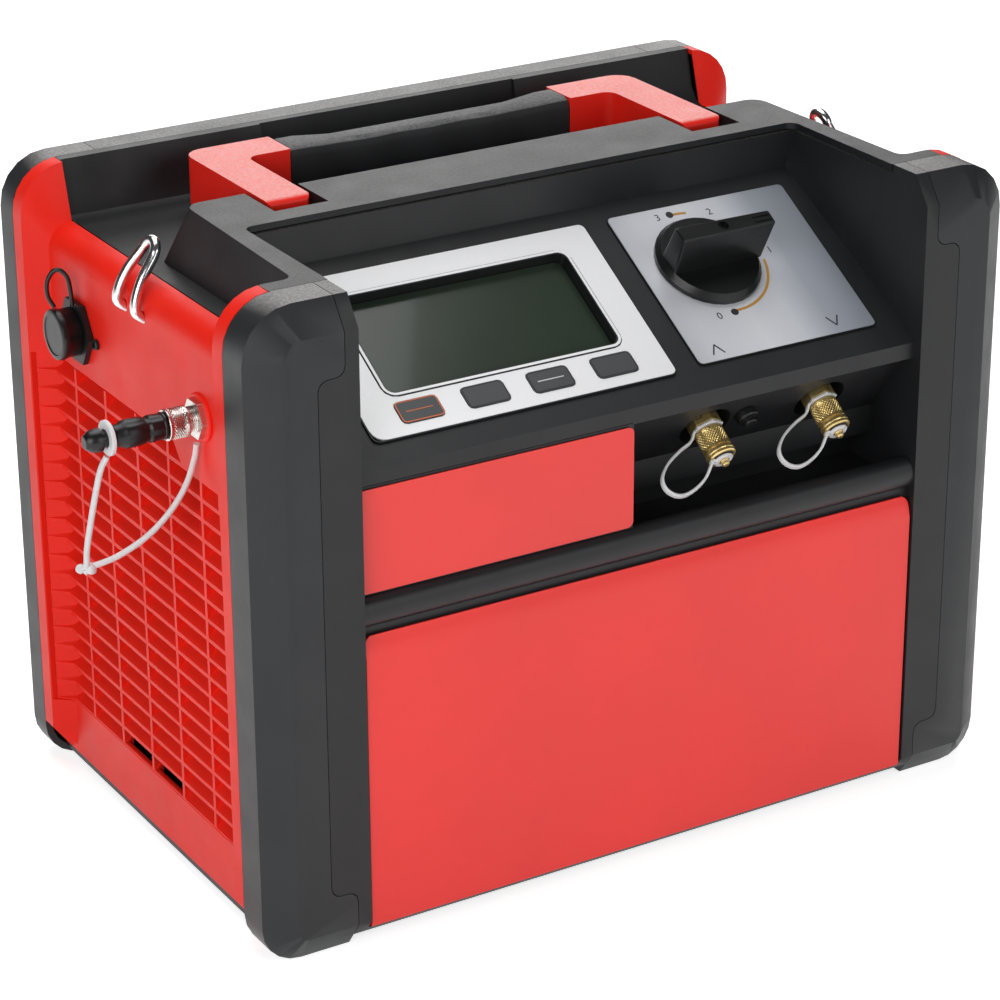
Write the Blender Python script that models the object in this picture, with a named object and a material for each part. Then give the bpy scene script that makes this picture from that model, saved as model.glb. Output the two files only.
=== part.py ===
"""Refrigerant recovery machine, one object for each sub-part, in metres with +Z up.

The machine is drawn in case coordinates: x runs to the right from the middle plane, y runs
back from the front face and z runs up from the surface that it stands on. A parent empty
moves the whole machine so that the middle of its foot lies on the world's origin.
"""
import math

import bmesh
import bpy
from mathutils import Matrix, Vector

# Case
WIDTH = 0.4
DEPTH = 0.2682
HEIGHT = 0.3128
TOP_RADIUS = 0.024
BOTTOM_RADIUS = 0.019
WALL = 0.0025
GAP = 0.0003
SEAT = 0.0005
SIDE_INSET = 0.01
SHOULDER_RADIUS = 0.012
DECK_DROP = 0.0268
RIM_WIDTH = 0.0091
RAMP_LENGTH = 0.0077
RIM_TOP_WIDTH = 0.0225
RIM_FOOT_HEIGHT = 0.022
SHELL_FOOT_HEIGHT = 0.0085

# Corner guards
GUARD_DEPTH = 0.0271
REAR_GUARD_DEPTH = 0.0235
GUARD_WALL = 0.0035
CHAMFER_INSET = 0.0135
CHAMFER_DEPTH = 0.0095
SEAM_TOP_INSET = 0.0437
SEAM_SIDE_INSET = 0.0304
SEAM_JOG_DROP = 0.0333
SEAM_JOG_HEIGHT = 0.031
SEAM_RADIUS = 0.005

# Front frame
OPENING_INSET = 0.0506
FRAME_FOOT = 0.0062
LIP_Y = 0.005
PANEL_DROP = 0.0812
LIP_HEIGHT = 0.0078
PANEL_TILT = math.radians(30.2)
PANEL_LENGTH = 0.117
PANEL_NARROWING = 0.0045
COVER_EDGE = 0.004
LABEL_HEIGHT = 0.0484
BAR_HEIGHT = 0.02
BAR_BULGE = 0.0052
BAR_BACK = 0.0085

# Front panel
PANEL_FACE_Y = 0.0012
PANEL_SHEET = 0.0015
PANEL_FOLD = 0.0103
PANEL_LEAN = 0.0024
PANEL_SIDE_GAP = 0.0008
PANEL_FOOT = 0.0093
PANEL_CORNER = 0.005

# Port bay, cut from its left wall to the frame's opening
BAY_WIDTH = 0.1564
BAY_FLOOR_DROP = 0.013
BAY_DEPTH = 0.052
BAY_SHELF_Y = 0.036
BAY_SHELF_DROP = 0.0419
BAY_SLOT_HEIGHT = 0.0157
PORT_FACE_Y = 0.0111
PORT_SPACING = 0.065
PORT_INSET = 0.0394
PORT_ANGLE = math.radians(36)
PORT_DOWN_FACE = 0.0239
CUP_RADIUS = 0.0133
CUP_DEPTH = 0.0081

# Service ports and their caps
HEX_FLATS = 0.014
HEX_LENGTH = 0.0088
NOSE_RADIUS = 0.0051
NOSE_LENGTH = 0.0118
TAIL_RADIUS = 0.0055
PORT_BORE = 0.0022
CAP_RADIUS = 0.007
CAP_LENGTH = 0.0151
STRAP_THICKNESS = 0.0014
STUD_RADIUS = 0.0022
STRAP_TAB = 0.0072

# Reset button
RESET_X_INSET = 0.0834
RESET_RADIUS = 0.0055
RESET_BUTTON_RADIUS = 0.0034
RESET_COLLAR = 0.004
RESET_RISE = 0.002

# Display and keys on the sloped panel
PLATE_WIDTH = 0.0996
PLATE_HEIGHT = 0.0925
PLATE_SIDE_MARGIN = 0.0137
PLATE_THICKNESS = 0.0008
PLATE_FOOT = 0.0143
PLATE_RADIUS = 0.0024
FASCIA_GAP = 0.0135
FASCIA_SIDE_MARGIN = 0.0154
FASCIA_FOOT = 0.0128
FASCIA_HEIGHT = 0.094
FASCIA_RADIUS = 0.003
FASCIA_FOOT_RADIUS = 0.0065
WINDOW_SIDE_MARGIN = 0.0182
WINDOW_FOOT = 0.0233
WINDOW_HEIGHT = 0.0565
WINDOW_RADIUS = 0.004
GLASS_SINK = 0.0045
BEZEL_WALL = 0.0022
KEY_COUNT = 4
KEY_WIDTH = 0.0215
KEY_HEIGHT = 0.012
KEY_PITCH = 0.0337
KEY_FOOT = 0.0058
KEY_RADIUS = 0.0022
KEY_RISE = 0.0005

# Selector knob
KNOB_SIDE = 0.0353
KNOB_UP = 0.0552
SKIRT_RADIUS = 0.0262
SKIRT_HEIGHT = 0.0065
KNOB_HEIGHT = 0.027
GRIP_TAIL = 0.0245
GRIP_POINTER = 0.0275
GRIP_TOP_WIDTH = 0.0092
GRIP_FOOT_WIDTH = 0.0132
GRIP_TAPER = 0.85
KNOB_DIMPLE_RADIUS = 0.0026
KNOB_DIMPLE_DEPTH = 0.002
STEM_RADIUS = 0.004
STEM_ENTRY = 0.012

# Valve block under the panel
BLOCK_FOOT = 0.032
BLOCK_LENGTH = 0.064
BLOCK_SINK = 0.019
BLOCK_THICKNESS = 0.022
BLOCK_SIDE = 0.0145
BOSS_RADIUS = 0.004

# Top cover
HUMP_INSET = 0.043
HUMP_REAR = 0.148
HUMP_FLARE = 0.011
ARM_INSET = 0.0392
STRIP_DEPTH = 0.0056
REAR_WALL_LEAN = 0.0049
REAR_WALL_FOOT = 0.0175
SCOOP_HALF = 0.0715

# Handle
ARM_INBOARD = 0.033
ARM_WIDTH = 0.0225
HANDLE_HEIGHT = 0.024
HANDLE_RAISE = 0.0004
PIVOT_Y = 0.142
PIVOT_AHEAD = 0.0115
BAR_REAR_INSET = 0.0502
BAR_THICKNESS = 0.023
ARM_CORNER = 0.01
GRIP_HALF = 0.078
GRIP_CORE = 0.0062
GRIP_WAVES = 4
POCKET_SIDE = 0.0025
POCKET_AHEAD = 0.0118
PIN_RADIUS = 0.003
PIN_REACH = 0.006

# Side grilles
GRILLE_FOOT = 0.0375
GRILLE_TOP_DROP = 0.0638
GRILLE_ROWS = 19
DIVIDER_WIDTH = 0.0022
DIVIDER_COUNT = 5
DIVIDER_SPANS = 5.59
DIVIDER_FIRST = 0.668
POCKET_DEPTH = 0.0035
POCKET_FLOOR = 0.002
SLOT_BARS = (1, 2)
RIB_HEIGHT = 0.002
RIB_SINK = 0.0002
BLADE_DEPTH = 0.0085
BLADE_RISE = 0.0088
BLADE_THICKNESS = 0.0013
PATCH_REACH = 0.0255

# Left side connectors
FLANGE_REAR_INSET = 0.0712
FLANGE_DROP = 0.0423
FLANGE_RADIUS = 0.0165
DUST_CAP_RADIUS = 0.0122
DUST_CAP_LENGTH = 0.0105
DUST_CAP_WALL = 0.0016
FLANGE_THICKNESS = 0.003
SOCKET_Y = 0.071
SOCKET_DROP = 0.0426
SOCKET_RADIUS = 0.0105
SOCKET_NUT = 0.004
THREAD_RADIUS = 0.0058
SOCKET_BORE = 0.0034
SOCKET_DEPTH = 0.004
THREAD_END = 0.0085
RING_RADIUS = 0.0071
RING_LENGTH = 0.0102
RING_START = 0.0075
PLUG_LENGTH = 0.0238
PLUG_RADIUS = 0.0065
NECK_RADIUS = 0.00385
NECK_LENGTH = 0.0065
KNOB_END_RADIUS = 0.0052
KNOB_END_LENGTH = 0.0075
TETHER_RADIUS = 0.0013
TETHER_RING_RADIUS = 0.008

# Strap eyes
EYE_WIRE = 0.0024
EYE_SPREAD = 0.0094
EYE_LOOP = 0.006

# Rear fittings
INLET_X = -0.085
INLET_Z = 0.06
INLET_WIDTH = 0.0275
INLET_HEIGHT = 0.0225
INLET_SINK = 0.016
SWITCH_X = -0.035
SWITCH_WIDTH = 0.0195
SWITCH_HEIGHT = 0.0135
REAR_RECESS = 0.006

# Inside the case
TRAY_THICKNESS = 0.003
FAN_SIDE_ROOM = 0.0461
FAN_AHEAD = 0.0201
FAN_Z = 0.12
FAN_BLADES = 5
FAN_WIDTH = 0.02
FAN_OFFSET = 0.03
SHROUD_WALL = 0.003
CONDENSER_WIDTH = 0.03
CONDENSER_FINS = 16
MOTOR_RADIUS = 0.042
MOTOR_LENGTH = 0.1
CRANKCASE_WIDTH = 0.07
CYLINDER_REACH = 0.018

# Values that follow from those above
HALF = WIDTH / 2
OPENING = HALF - OPENING_INSET
SEAM_TOP = HALF - SEAM_TOP_INSET
SEAM_SIDE = HALF - SEAM_SIDE_INSET
SIDE = HALF - SIDE_INSET
RIM_END = HALF - RIM_TOP_WIDTH
DECK = HEIGHT - DECK_DROP
HUMP_HALF = HALF - HUMP_INSET
ARM_OUTER = HUMP_HALF - ARM_INBOARD
SHELL_FRONT = GUARD_DEPTH + GAP
SHELL_REAR = DEPTH - REAR_GUARD_DEPTH - GAP
SUNK_FRONT = SHELL_FRONT + RIM_WIDTH + RAMP_LENGTH
SUNK_REAR = SHELL_REAR - RIM_WIDTH - RAMP_LENGTH
GRILLE_PITCH = (DECK - GRILLE_TOP_DROP - GRILLE_FOOT) / GRILLE_ROWS
DIVIDER_PITCH = (SUNK_REAR - SUNK_FRONT) / DIVIDER_SPANS
SOCKET_Z = DECK - SOCKET_DROP
PATCH_Y = SOCKET_Y + PATCH_REACH
FLANGE_Y = DEPTH - FLANGE_REAR_INSET
FLANGE_Z = DECK - FLANGE_DROP
EYE_Y = (SHELL_FRONT + SHELL_REAR) / 2
LIP_TOP = HEIGHT - PANEL_DROP
LIP_BOTTOM = LIP_TOP - LIP_HEIGHT
LABEL_FOOT = LIP_BOTTOM - LABEL_HEIGHT - 2 * WALL / 2
BAR_TOP = LABEL_FOOT
BAR_FOOT = BAR_TOP - BAR_HEIGHT
PANEL_BACK = PANEL_FACE_Y + PANEL_LEAN + PANEL_SHEET + GAP
BAY_LEFT = OPENING - BAY_WIDTH
TUB_TOP = HEIGHT - COVER_EDGE - GAP
PANEL_END_Y = LIP_Y + PANEL_LENGTH * math.cos(PANEL_TILT)
PANEL_END_Z = LIP_TOP + PANEL_LENGTH * math.sin(PANEL_TILT)
HANDLE_TOP = HEIGHT + HANDLE_RAISE
PIVOT_Z = HANDLE_TOP - HANDLE_HEIGHT / 2
HANDLE_REAR = DEPTH - BAR_REAR_INSET
RESET_X = OPENING - RESET_X_INSET
KNOB_X = OPENING - PLATE_SIDE_MARGIN - PLATE_WIDTH + KNOB_SIDE
KNOB_V = PLATE_FOOT + KNOB_UP
FASCIA_LEFT = -OPENING + FASCIA_SIDE_MARGIN
FASCIA_RIGHT = OPENING - PLATE_SIDE_MARGIN - PLATE_WIDTH - FASCIA_GAP
FASCIA_TOP = GAP + PLATE_THICKNESS
WINDOW_LEFT = FASCIA_LEFT + WINDOW_SIDE_MARGIN
WINDOW_RIGHT = FASCIA_RIGHT - WINDOW_SIDE_MARGIN
WINDOW_V = FASCIA_FOOT + WINDOW_FOOT
FAN_X = -SIDE + FAN_OFFSET
FAN_RADIUS = (DEPTH - BAY_DEPTH) / 2 - FAN_SIDE_ROOM
FAN_Y = (DEPTH + BAY_DEPTH) / 2 - FAN_AHEAD
PLUG_TIP = SIDE + RING_START + RING_LENGTH + PLUG_LENGTH + NECK_LENGTH + KNOB_END_LENGTH + GAP
SHIFT = Vector(((PLUG_TIP - HALF) / 2, -DEPTH / 2, 0))

# Colours
BLACK_PLASTIC = ((0.045, 0.047, 0.05), 0.55, 0.0)
GUARD_GREY = ((0.05, 0.052, 0.056), 0.6, 0.0)
CASE_RED = ((0.62, 0.035, 0.022), 0.42, 0.0)
SHEET_RED = ((0.72, 0.06, 0.045), 0.35, 0.0)
SILVER = ((0.62, 0.62, 0.63), 0.4, 0.3)
KEY_GREY = ((0.06, 0.062, 0.065), 0.5, 0.0)
LCD_GREEN = ((0.025, 0.045, 0.025), 0.15, 0.0)
BRASS = ((0.6, 0.43, 0.18), 0.28, 1.0)
WHITE_NYLON = ((0.75, 0.76, 0.76), 0.5, 0.0)
STEEL = ((0.6, 0.6, 0.6), 0.22, 1.0)
RUBBER = ((0.02, 0.02, 0.021), 0.75, 0.0)
COPPER = ((0.6, 0.25, 0.12), 0.3, 1.0)
CAST_ALUMINIUM = ((0.4, 0.4, 0.41), 0.5, 0.9)
BOARD_GREEN = ((0.02, 0.12, 0.05), 0.5, 0.0)


def clear_scene():
    for item in list(bpy.data.objects):
        bpy.data.objects.remove(item)


def make_piece(vertices, faces):
    """A loose mesh object whose faces look out"""
    mesh = bpy.data.meshes.new("piece")
    mesh.from_pydata([tuple(vertex) for vertex in vertices], [], faces)
    form = bmesh.new()
    form.from_mesh(mesh)
    bmesh.ops.recalc_face_normals(form, faces=form.faces)
    form.to_mesh(mesh)
    form.free()
    piece = bpy.data.objects.new("piece", mesh)
    bpy.context.collection.objects.link(piece)
    return piece


def loft(rings):
    """A closed solid through rings with the same number of points"""
    count = len(rings[0])
    vertices = [point for ring in rings for point in ring]
    faces = [tuple(range(count))]
    for level in range(len(rings) - 1):
        start = level * count
        for step in range(count):
            following = (step + 1) % count
            faces.append((start + step, start + following, start + count + following, start + count + step))
    faces.append(tuple(range(len(vertices) - count, len(vertices))))
    return make_piece(vertices, faces)


def lift(point, axis, level):
    first, second = point
    return {"X": (level, first, second), "Y": (first, level, second), "Z": (first, second, level)}[axis]


def prism(outline, axis, low, high):
    """A flat outline pulled along an axis"""
    return loft([[lift(point, axis, level) for point in outline] for level in (low, high)])


def box(low, high):
    outline = [(low[0], low[1]), (high[0], low[1]), (high[0], high[1]), (low[0], high[1])]
    return prism(outline, "Z", low[2], high[2])


def turned(profile, place, steps=20, closed=False):
    """A profile of (radius, along) points spun about the Z axis of a placing matrix"""
    vertices = []
    rings = []
    for radius, along in profile:
        if radius < 1e-6:
            rings.append([len(vertices)] * steps)
            vertices.append(place @ Vector((0, 0, along)))
            continue
        rings.append(list(range(len(vertices), len(vertices) + steps)))
        for step in range(steps):
            angle = 2 * math.pi * step / steps
            vertices.append(place @ Vector((radius * math.cos(angle), radius * math.sin(angle), along)))
    pairs = list(zip(rings, rings[1:]))
    if closed:
        pairs.append((rings[-1], rings[0]))
    faces = []
    for lower, upper in pairs:
        for step in range(steps):
            following = (step + 1) % steps
            corners = [lower[step], lower[following], upper[following], upper[step]]
            face = [corner for index, corner in enumerate(corners) if corner not in corners[:index]]
            if len(face) > 2:
                faces.append(tuple(face))
    return make_piece(vertices, faces)


def rounded(corners, radius, steps=4):
    """A closed outline with its corners rounded, by one radius or by one for each corner"""
    radii = radius if isinstance(radius, list) else [radius] * len(corners)
    outline = []
    for index, corner in enumerate(corners):
        here = Vector(corner)
        before = (Vector(corners[index - 1]) - here).normalized()
        after = (Vector(corners[(index + 1) % len(corners)]) - here).normalized()
        if radii[index] <= 0:
            outline.append(tuple(here))
            continue
        half = before.angle(after) / 2
        centre = here + (before + after).normalized() * (radii[index] / math.sin(half))
        start = here + before * (radii[index] / math.tan(half)) - centre
        turn = math.pi - 2 * half
        sign = 1 if before.x * after.y - before.y * after.x < 0 else -1
        for step in range(steps + 1):
            angle = sign * turn * step / steps
            x = start.x * math.cos(angle) - start.y * math.sin(angle)
            y = start.x * math.sin(angle) + start.y * math.cos(angle)
            outline.append((centre.x + x, centre.y + y))
    return outline


def rectangle(low, high):
    return [(low[0], low[1]), (high[0], low[1]), (high[0], high[1]), (low[0], high[1])]


def sheet(points, thickness):
    """The outline of a bent sheet whose seen face runs through the points, thick to their right"""
    back = []
    for index, point in enumerate(points):
        here = Vector(point)
        normals = []
        if index > 0:
            run = (here - Vector(points[index - 1])).normalized()
            normals.append(Vector((run.y, -run.x)))
        if index < len(points) - 1:
            run = (Vector(points[index + 1]) - here).normalized()
            normals.append(Vector((run.y, -run.x)))
        middle = sum(normals, Vector((0, 0))).normalized()
        back.append(tuple(here + middle * (thickness / middle.dot(normals[0]))))
    return list(points) + back[::-1]


def combine(base, others, operation):
    """Join, cut or intersect with other pieces, which are used up"""
    for other in others:
        modifier = base.modifiers.new(operation.lower(), "BOOLEAN")
        modifier.operation = operation
        modifier.solver = "EXACT"
        modifier.object = other
    bpy.context.view_layer.update()
    shape = base.evaluated_get(bpy.context.evaluated_depsgraph_get())
    base.data = bpy.data.meshes.new_from_object(shape)
    base.modifiers.clear()
    for other in others:
        bpy.data.objects.remove(other)
    return base


def fuse(base, *others):
    return combine(base, others, "UNION")


def cut(base, *others):
    return combine(base, others, "DIFFERENCE")


def keep(base, *others):
    return combine(base, others, "INTERSECT")


def tidy(piece):
    """Merge the points that boolean steps leave on top of each other"""
    form = bmesh.new()
    form.from_mesh(piece.data)
    bmesh.ops.remove_doubles(form, verts=form.verts, dist=2e-6)
    bmesh.ops.dissolve_limit(form, angle_limit=math.radians(0.1), verts=form.verts, edges=form.edges)
    form.to_mesh(piece.data)
    form.free()
    return piece


def colour(piece, name, look):
    material = bpy.data.materials.new(name)
    material.use_nodes = True
    shader = material.node_tree.nodes["Principled BSDF"]
    shader.inputs["Base Color"].default_value = (*look[0], 1)
    shader.inputs["Roughness"].default_value = look[1]
    shader.inputs["Metallic"].default_value = look[2]
    piece.data.materials.clear()
    piece.data.materials.append(material)


def place_part(piece, name, look, root, origin=(0, 0, 0), smooth=True):
    """Name a piece, colour it and give it an origin of its own under the root"""
    piece.name = name
    piece.data.name = name
    if piece.type == "MESH":
        piece.data.transform(Matrix.Translation(-Vector(origin)))
    if smooth and piece.type == "MESH":
        piece.data.shade_smooth()
        piece.data.set_sharp_from_angle(angle=math.radians(32))
    piece.location = origin
    piece.parent = root
    colour(piece, name, look)
    return piece


def toward(point, direction):
    """A placing matrix whose Z axis leaves a point in a direction"""
    turn = Vector(direction).normalized().to_track_quat("Z", "Y")
    return Matrix.Translation(Vector(point)) @ turn.to_matrix().to_4x4()


def panel_place():
    """Case coordinates of the sloped panel: x across, y up the slope, z off its face"""
    return Matrix.Translation(Vector((0, LIP_Y, LIP_TOP))) @ Matrix.Rotation(PANEL_TILT, 4, "X")


def on_panel(piece):
    piece.data.transform(panel_place())
    return piece


def panel_plate(outline, low, high):
    return on_panel(prism(outline, "Z", low, high))


def pipe(points, radius, resolution=2):
    """A round bar along a line of points, with closed ends"""
    curve = bpy.data.curves.new("pipe", "CURVE")
    curve.dimensions = "3D"
    curve.bevel_depth = radius
    curve.bevel_resolution = resolution
    curve.use_fill_caps = True
    curve.render_resolution_u = 0
    line = curve.splines.new("POLY")
    line.points.add(len(points) - 1)
    for spot, point in zip(line.points, points):
        spot.co = (*point, 1)
    piece = bpy.data.objects.new("pipe", curve)
    bpy.context.collection.objects.link(piece)
    return piece


def bent(corners, radius, steps=4):
    """An open route through corners in space, with an arc at each bend"""
    route = [Vector(corners[0])]
    for before, here, after in zip(corners, corners[1:], corners[2:]):
        here = Vector(here)
        back = (Vector(before) - here).normalized()
        ahead = (Vector(after) - here).normalized()
        half = back.angle(ahead) / 2
        reach = radius / math.tan(half)
        centre = here + (back + ahead).normalized() * (radius / math.sin(half))
        start = here + back * reach - centre
        end = here + ahead * reach - centre
        turn = start.angle(end)
        for step in range(steps + 1):
            share = step / steps
            arm = (start * math.sin((1 - share) * turn) + end * math.sin(share * turn)) / math.sin(turn)
            route.append(centre + arm)
    route.append(Vector(corners[-1]))
    return route


def case_ring(inset, y, steps=5):
    """The case's outer contour drawn in by an inset, as a ring at one depth"""
    top = max(TOP_RADIUS - inset, 0.004)
    bottom = max(BOTTOM_RADIUS - inset, 0.003)
    corners = rectangle((-HALF + inset, inset), (HALF - inset, HEIGHT - inset))
    outline = rounded(corners, [bottom, bottom, top, top], steps)
    return [(x, y, z) for x, z in outline]


def end_slab(inset, front, depth):
    """The chamfered slab that closes one end of the case, or its hollow when inset"""
    levels = [
        (CHAMFER_INSET + inset, inset),
        (inset, CHAMFER_DEPTH + inset / 2),
        (inset, depth + (0.01 if inset else 0)),
    ]
    return loft([case_ring(drawn, y if front else DEPTH - y) for drawn, y in levels])


def seam_path(clearance):
    """The right seam between guard and frame from top to bottom, moved toward the middle"""
    high = HEIGHT - SEAM_JOG_DROP - clearance
    low = SEAM_JOG_HEIGHT + clearance
    inner = SEAM_TOP - clearance
    outer = SEAM_SIDE - clearance
    return [(inner, HEIGHT + 0.05), (inner, high), (outer, high), (outer, low), (inner, low),
            (inner, -0.05)]


def seam_region(side, clearance):
    """The area outside the seam, for a guard on one side"""
    far = HALF + 0.05
    corners = seam_path(clearance) + [(far, -0.05), (far, HEIGHT + 0.05)]
    radii = [0] + [SEAM_RADIUS] * 4 + [0] * 3
    return [(side * x, z) for x, z in rounded(corners, radii, 3)]


def frame_region(clearance):
    """The area between the two seams"""
    right = rounded(seam_path(clearance), [0] + [SEAM_RADIUS] * 4 + [0], 3)
    return right + [(-x, z) for x, z in right[::-1]]


def corner_guard(side, front):
    """A moulded guard that wraps one upright edge of the case, open at its back"""
    depth = GUARD_DEPTH if front else REAR_GUARD_DEPTH
    low, high = (-0.01, depth + 0.02) if front else (DEPTH - depth - 0.02, DEPTH + 0.01)
    body = end_slab(0, front, depth)
    body = keep(body, prism(seam_region(side, 0), "Y", low, high))
    hollow = end_slab(GUARD_WALL, front, depth)
    hollow = keep(hollow, prism(seam_region(side, -GUARD_WALL), "Y", low, high))
    return tidy(cut(body, hollow))


def bar_outline():
    """The half-round bar over the front panel with the wall that runs down behind the panel"""
    face = BAR_BACK - 0.0025
    outline = [
        (PANEL_BACK + 0.0003, FRAME_FOOT),
        (PANEL_BACK + 0.0003, BAR_FOOT),
        (PANEL_BACK + 0.0003, BAR_FOOT + 0.0025),
        (face, BAR_FOOT + 0.0045),
    ]
    for step in range(7):
        angle = math.radians(-60 + 150 * step / 6)
        outline.append((face - BAR_BULGE * math.cos(angle), BAR_TOP - 0.0075 + 0.0072 * math.sin(angle)))
    outline += [(BAR_BACK, BAR_TOP - 0.0003), (BAR_BACK, BAR_FOOT), (PANEL_BACK + WALL, FRAME_FOOT)]
    return outline


def upper_points():
    """The lip, the sloped panel and the wall behind it, seen from the side"""
    return [(LIP_Y, LIP_TOP), (PANEL_END_Y, PANEL_END_Z), (PANEL_END_Y, TUB_TOP)]


def label_points():
    wall = LIP_Y + 0.0009
    return [(wall, BAR_TOP - 0.002), (wall, LIP_BOTTOM), (LIP_Y, LIP_BOTTOM + 0.0009)] + upper_points()


def bay_points():
    floor = BAR_TOP - BAY_FLOOR_DROP
    roof = floor + BAY_SLOT_HEIGHT
    shelf = LIP_TOP - BAY_SHELF_DROP
    return [
        (BAR_BACK - 0.001, floor),
        (BAY_DEPTH, floor),
        (BAY_DEPTH, roof),
        (BAY_SHELF_Y, roof),
        (BAY_SHELF_Y, shelf),
        (PORT_FACE_Y, LIP_BOTTOM),
        (LIP_Y, LIP_BOTTOM),
    ] + upper_points()


def bay_side_outline():
    """A wall that closes one end of the port bay"""
    floor = BAR_TOP - BAY_FLOOR_DROP
    roof = floor + BAY_SLOT_HEIGHT
    return [
        (LIP_Y + 0.0009, floor - WALL),
        (BAY_DEPTH + WALL, floor - WALL),
        (BAY_DEPTH + WALL, roof + WALL),
        (BAY_SHELF_Y + WALL, roof + 3 * WALL),
        (BAY_SHELF_Y + WALL, LIP_BOTTOM),
        (LIP_Y + 0.0009, LIP_BOTTOM + 0.0005),
    ]


def tub_wall(side):
    """The tapered wall beside the sloped panel"""
    front = GUARD_DEPTH - 0.008
    rear = PANEL_END_Y + WALL
    rings = []
    for height, narrow in ((None, PANEL_NARROWING), (TUB_TOP, 0.0003)):
        ring = []
        for x, y in ((OPENING, front), (OPENING - narrow, rear), (OPENING + WALL, rear),
                     (OPENING + WALL, front)):
            z = LIP_TOP + (y - LIP_Y) * math.tan(PANEL_TILT) - WALL / 2
            ring.append((side * x, y, min(z, TUB_TOP - 0.001) if height is None else height))
        rings.append(ring)
    return loft(rings)


def port_point(x, out=0.0):
    """A point on a port's axis, measured outward from the face it leaves"""
    face = Vector((0, PORT_FACE_Y, LIP_BOTTOM))
    down = Vector((0, math.sin(PORT_ANGLE), -math.cos(PORT_ANGLE)))
    middle = face + down * PORT_DOWN_FACE
    return Vector((x, middle.y, middle.z)) + port_direction() * out


def port_direction():
    return Vector((0, -math.cos(PORT_ANGLE), -math.sin(PORT_ANGLE)))


def port_places():
    right = OPENING - PORT_INSET
    return [right - PORT_SPACING, right]


def reset_place():
    face = Vector((0, PORT_FACE_Y, LIP_BOTTOM))
    down = Vector((0, math.sin(PORT_ANGLE), -math.cos(PORT_ANGLE)))
    middle = face + down * (PORT_DOWN_FACE - 0.0035)
    return toward((RESET_X, middle.y, middle.z), port_direction())


def key_places():
    """The middles of the keys as (across, up the slope)"""
    middle = (FASCIA_LEFT + FASCIA_RIGHT) / 2
    start = middle - KEY_PITCH * (KEY_COUNT - 1) / 2
    up = FASCIA_FOOT + KEY_FOOT + KEY_HEIGHT / 2
    return [(start + KEY_PITCH * index, up) for index in range(KEY_COUNT)]


def key_outline(place, spare):
    across, up = place
    wide = KEY_WIDTH / 2 + spare
    high = KEY_HEIGHT / 2 + spare
    return rounded(rectangle((across - wide, up - high), (across + wide, up + high)), KEY_RADIUS + spare, 2)


def window_outline(spare):
    low = (WINDOW_LEFT - spare, WINDOW_V - spare)
    high = (WINDOW_RIGHT + spare, WINDOW_V + WINDOW_HEIGHT + spare)
    return rounded(rectangle(low, high), max(WINDOW_RADIUS + spare, 0.001), 3)


def boss_places():
    middle = (port_places()[0] + port_places()[1]) / 2
    reach = PORT_SPACING / 2 + BLOCK_SIDE - 2 * BOSS_RADIUS
    rows = (BLOCK_FOOT + 1.5 * BOSS_RADIUS, BLOCK_FOOT + BLOCK_LENGTH - 1.5 * BOSS_RADIUS)
    return [(middle + side * reach, row) for side in (-1, 1) for row in rows]


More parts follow.
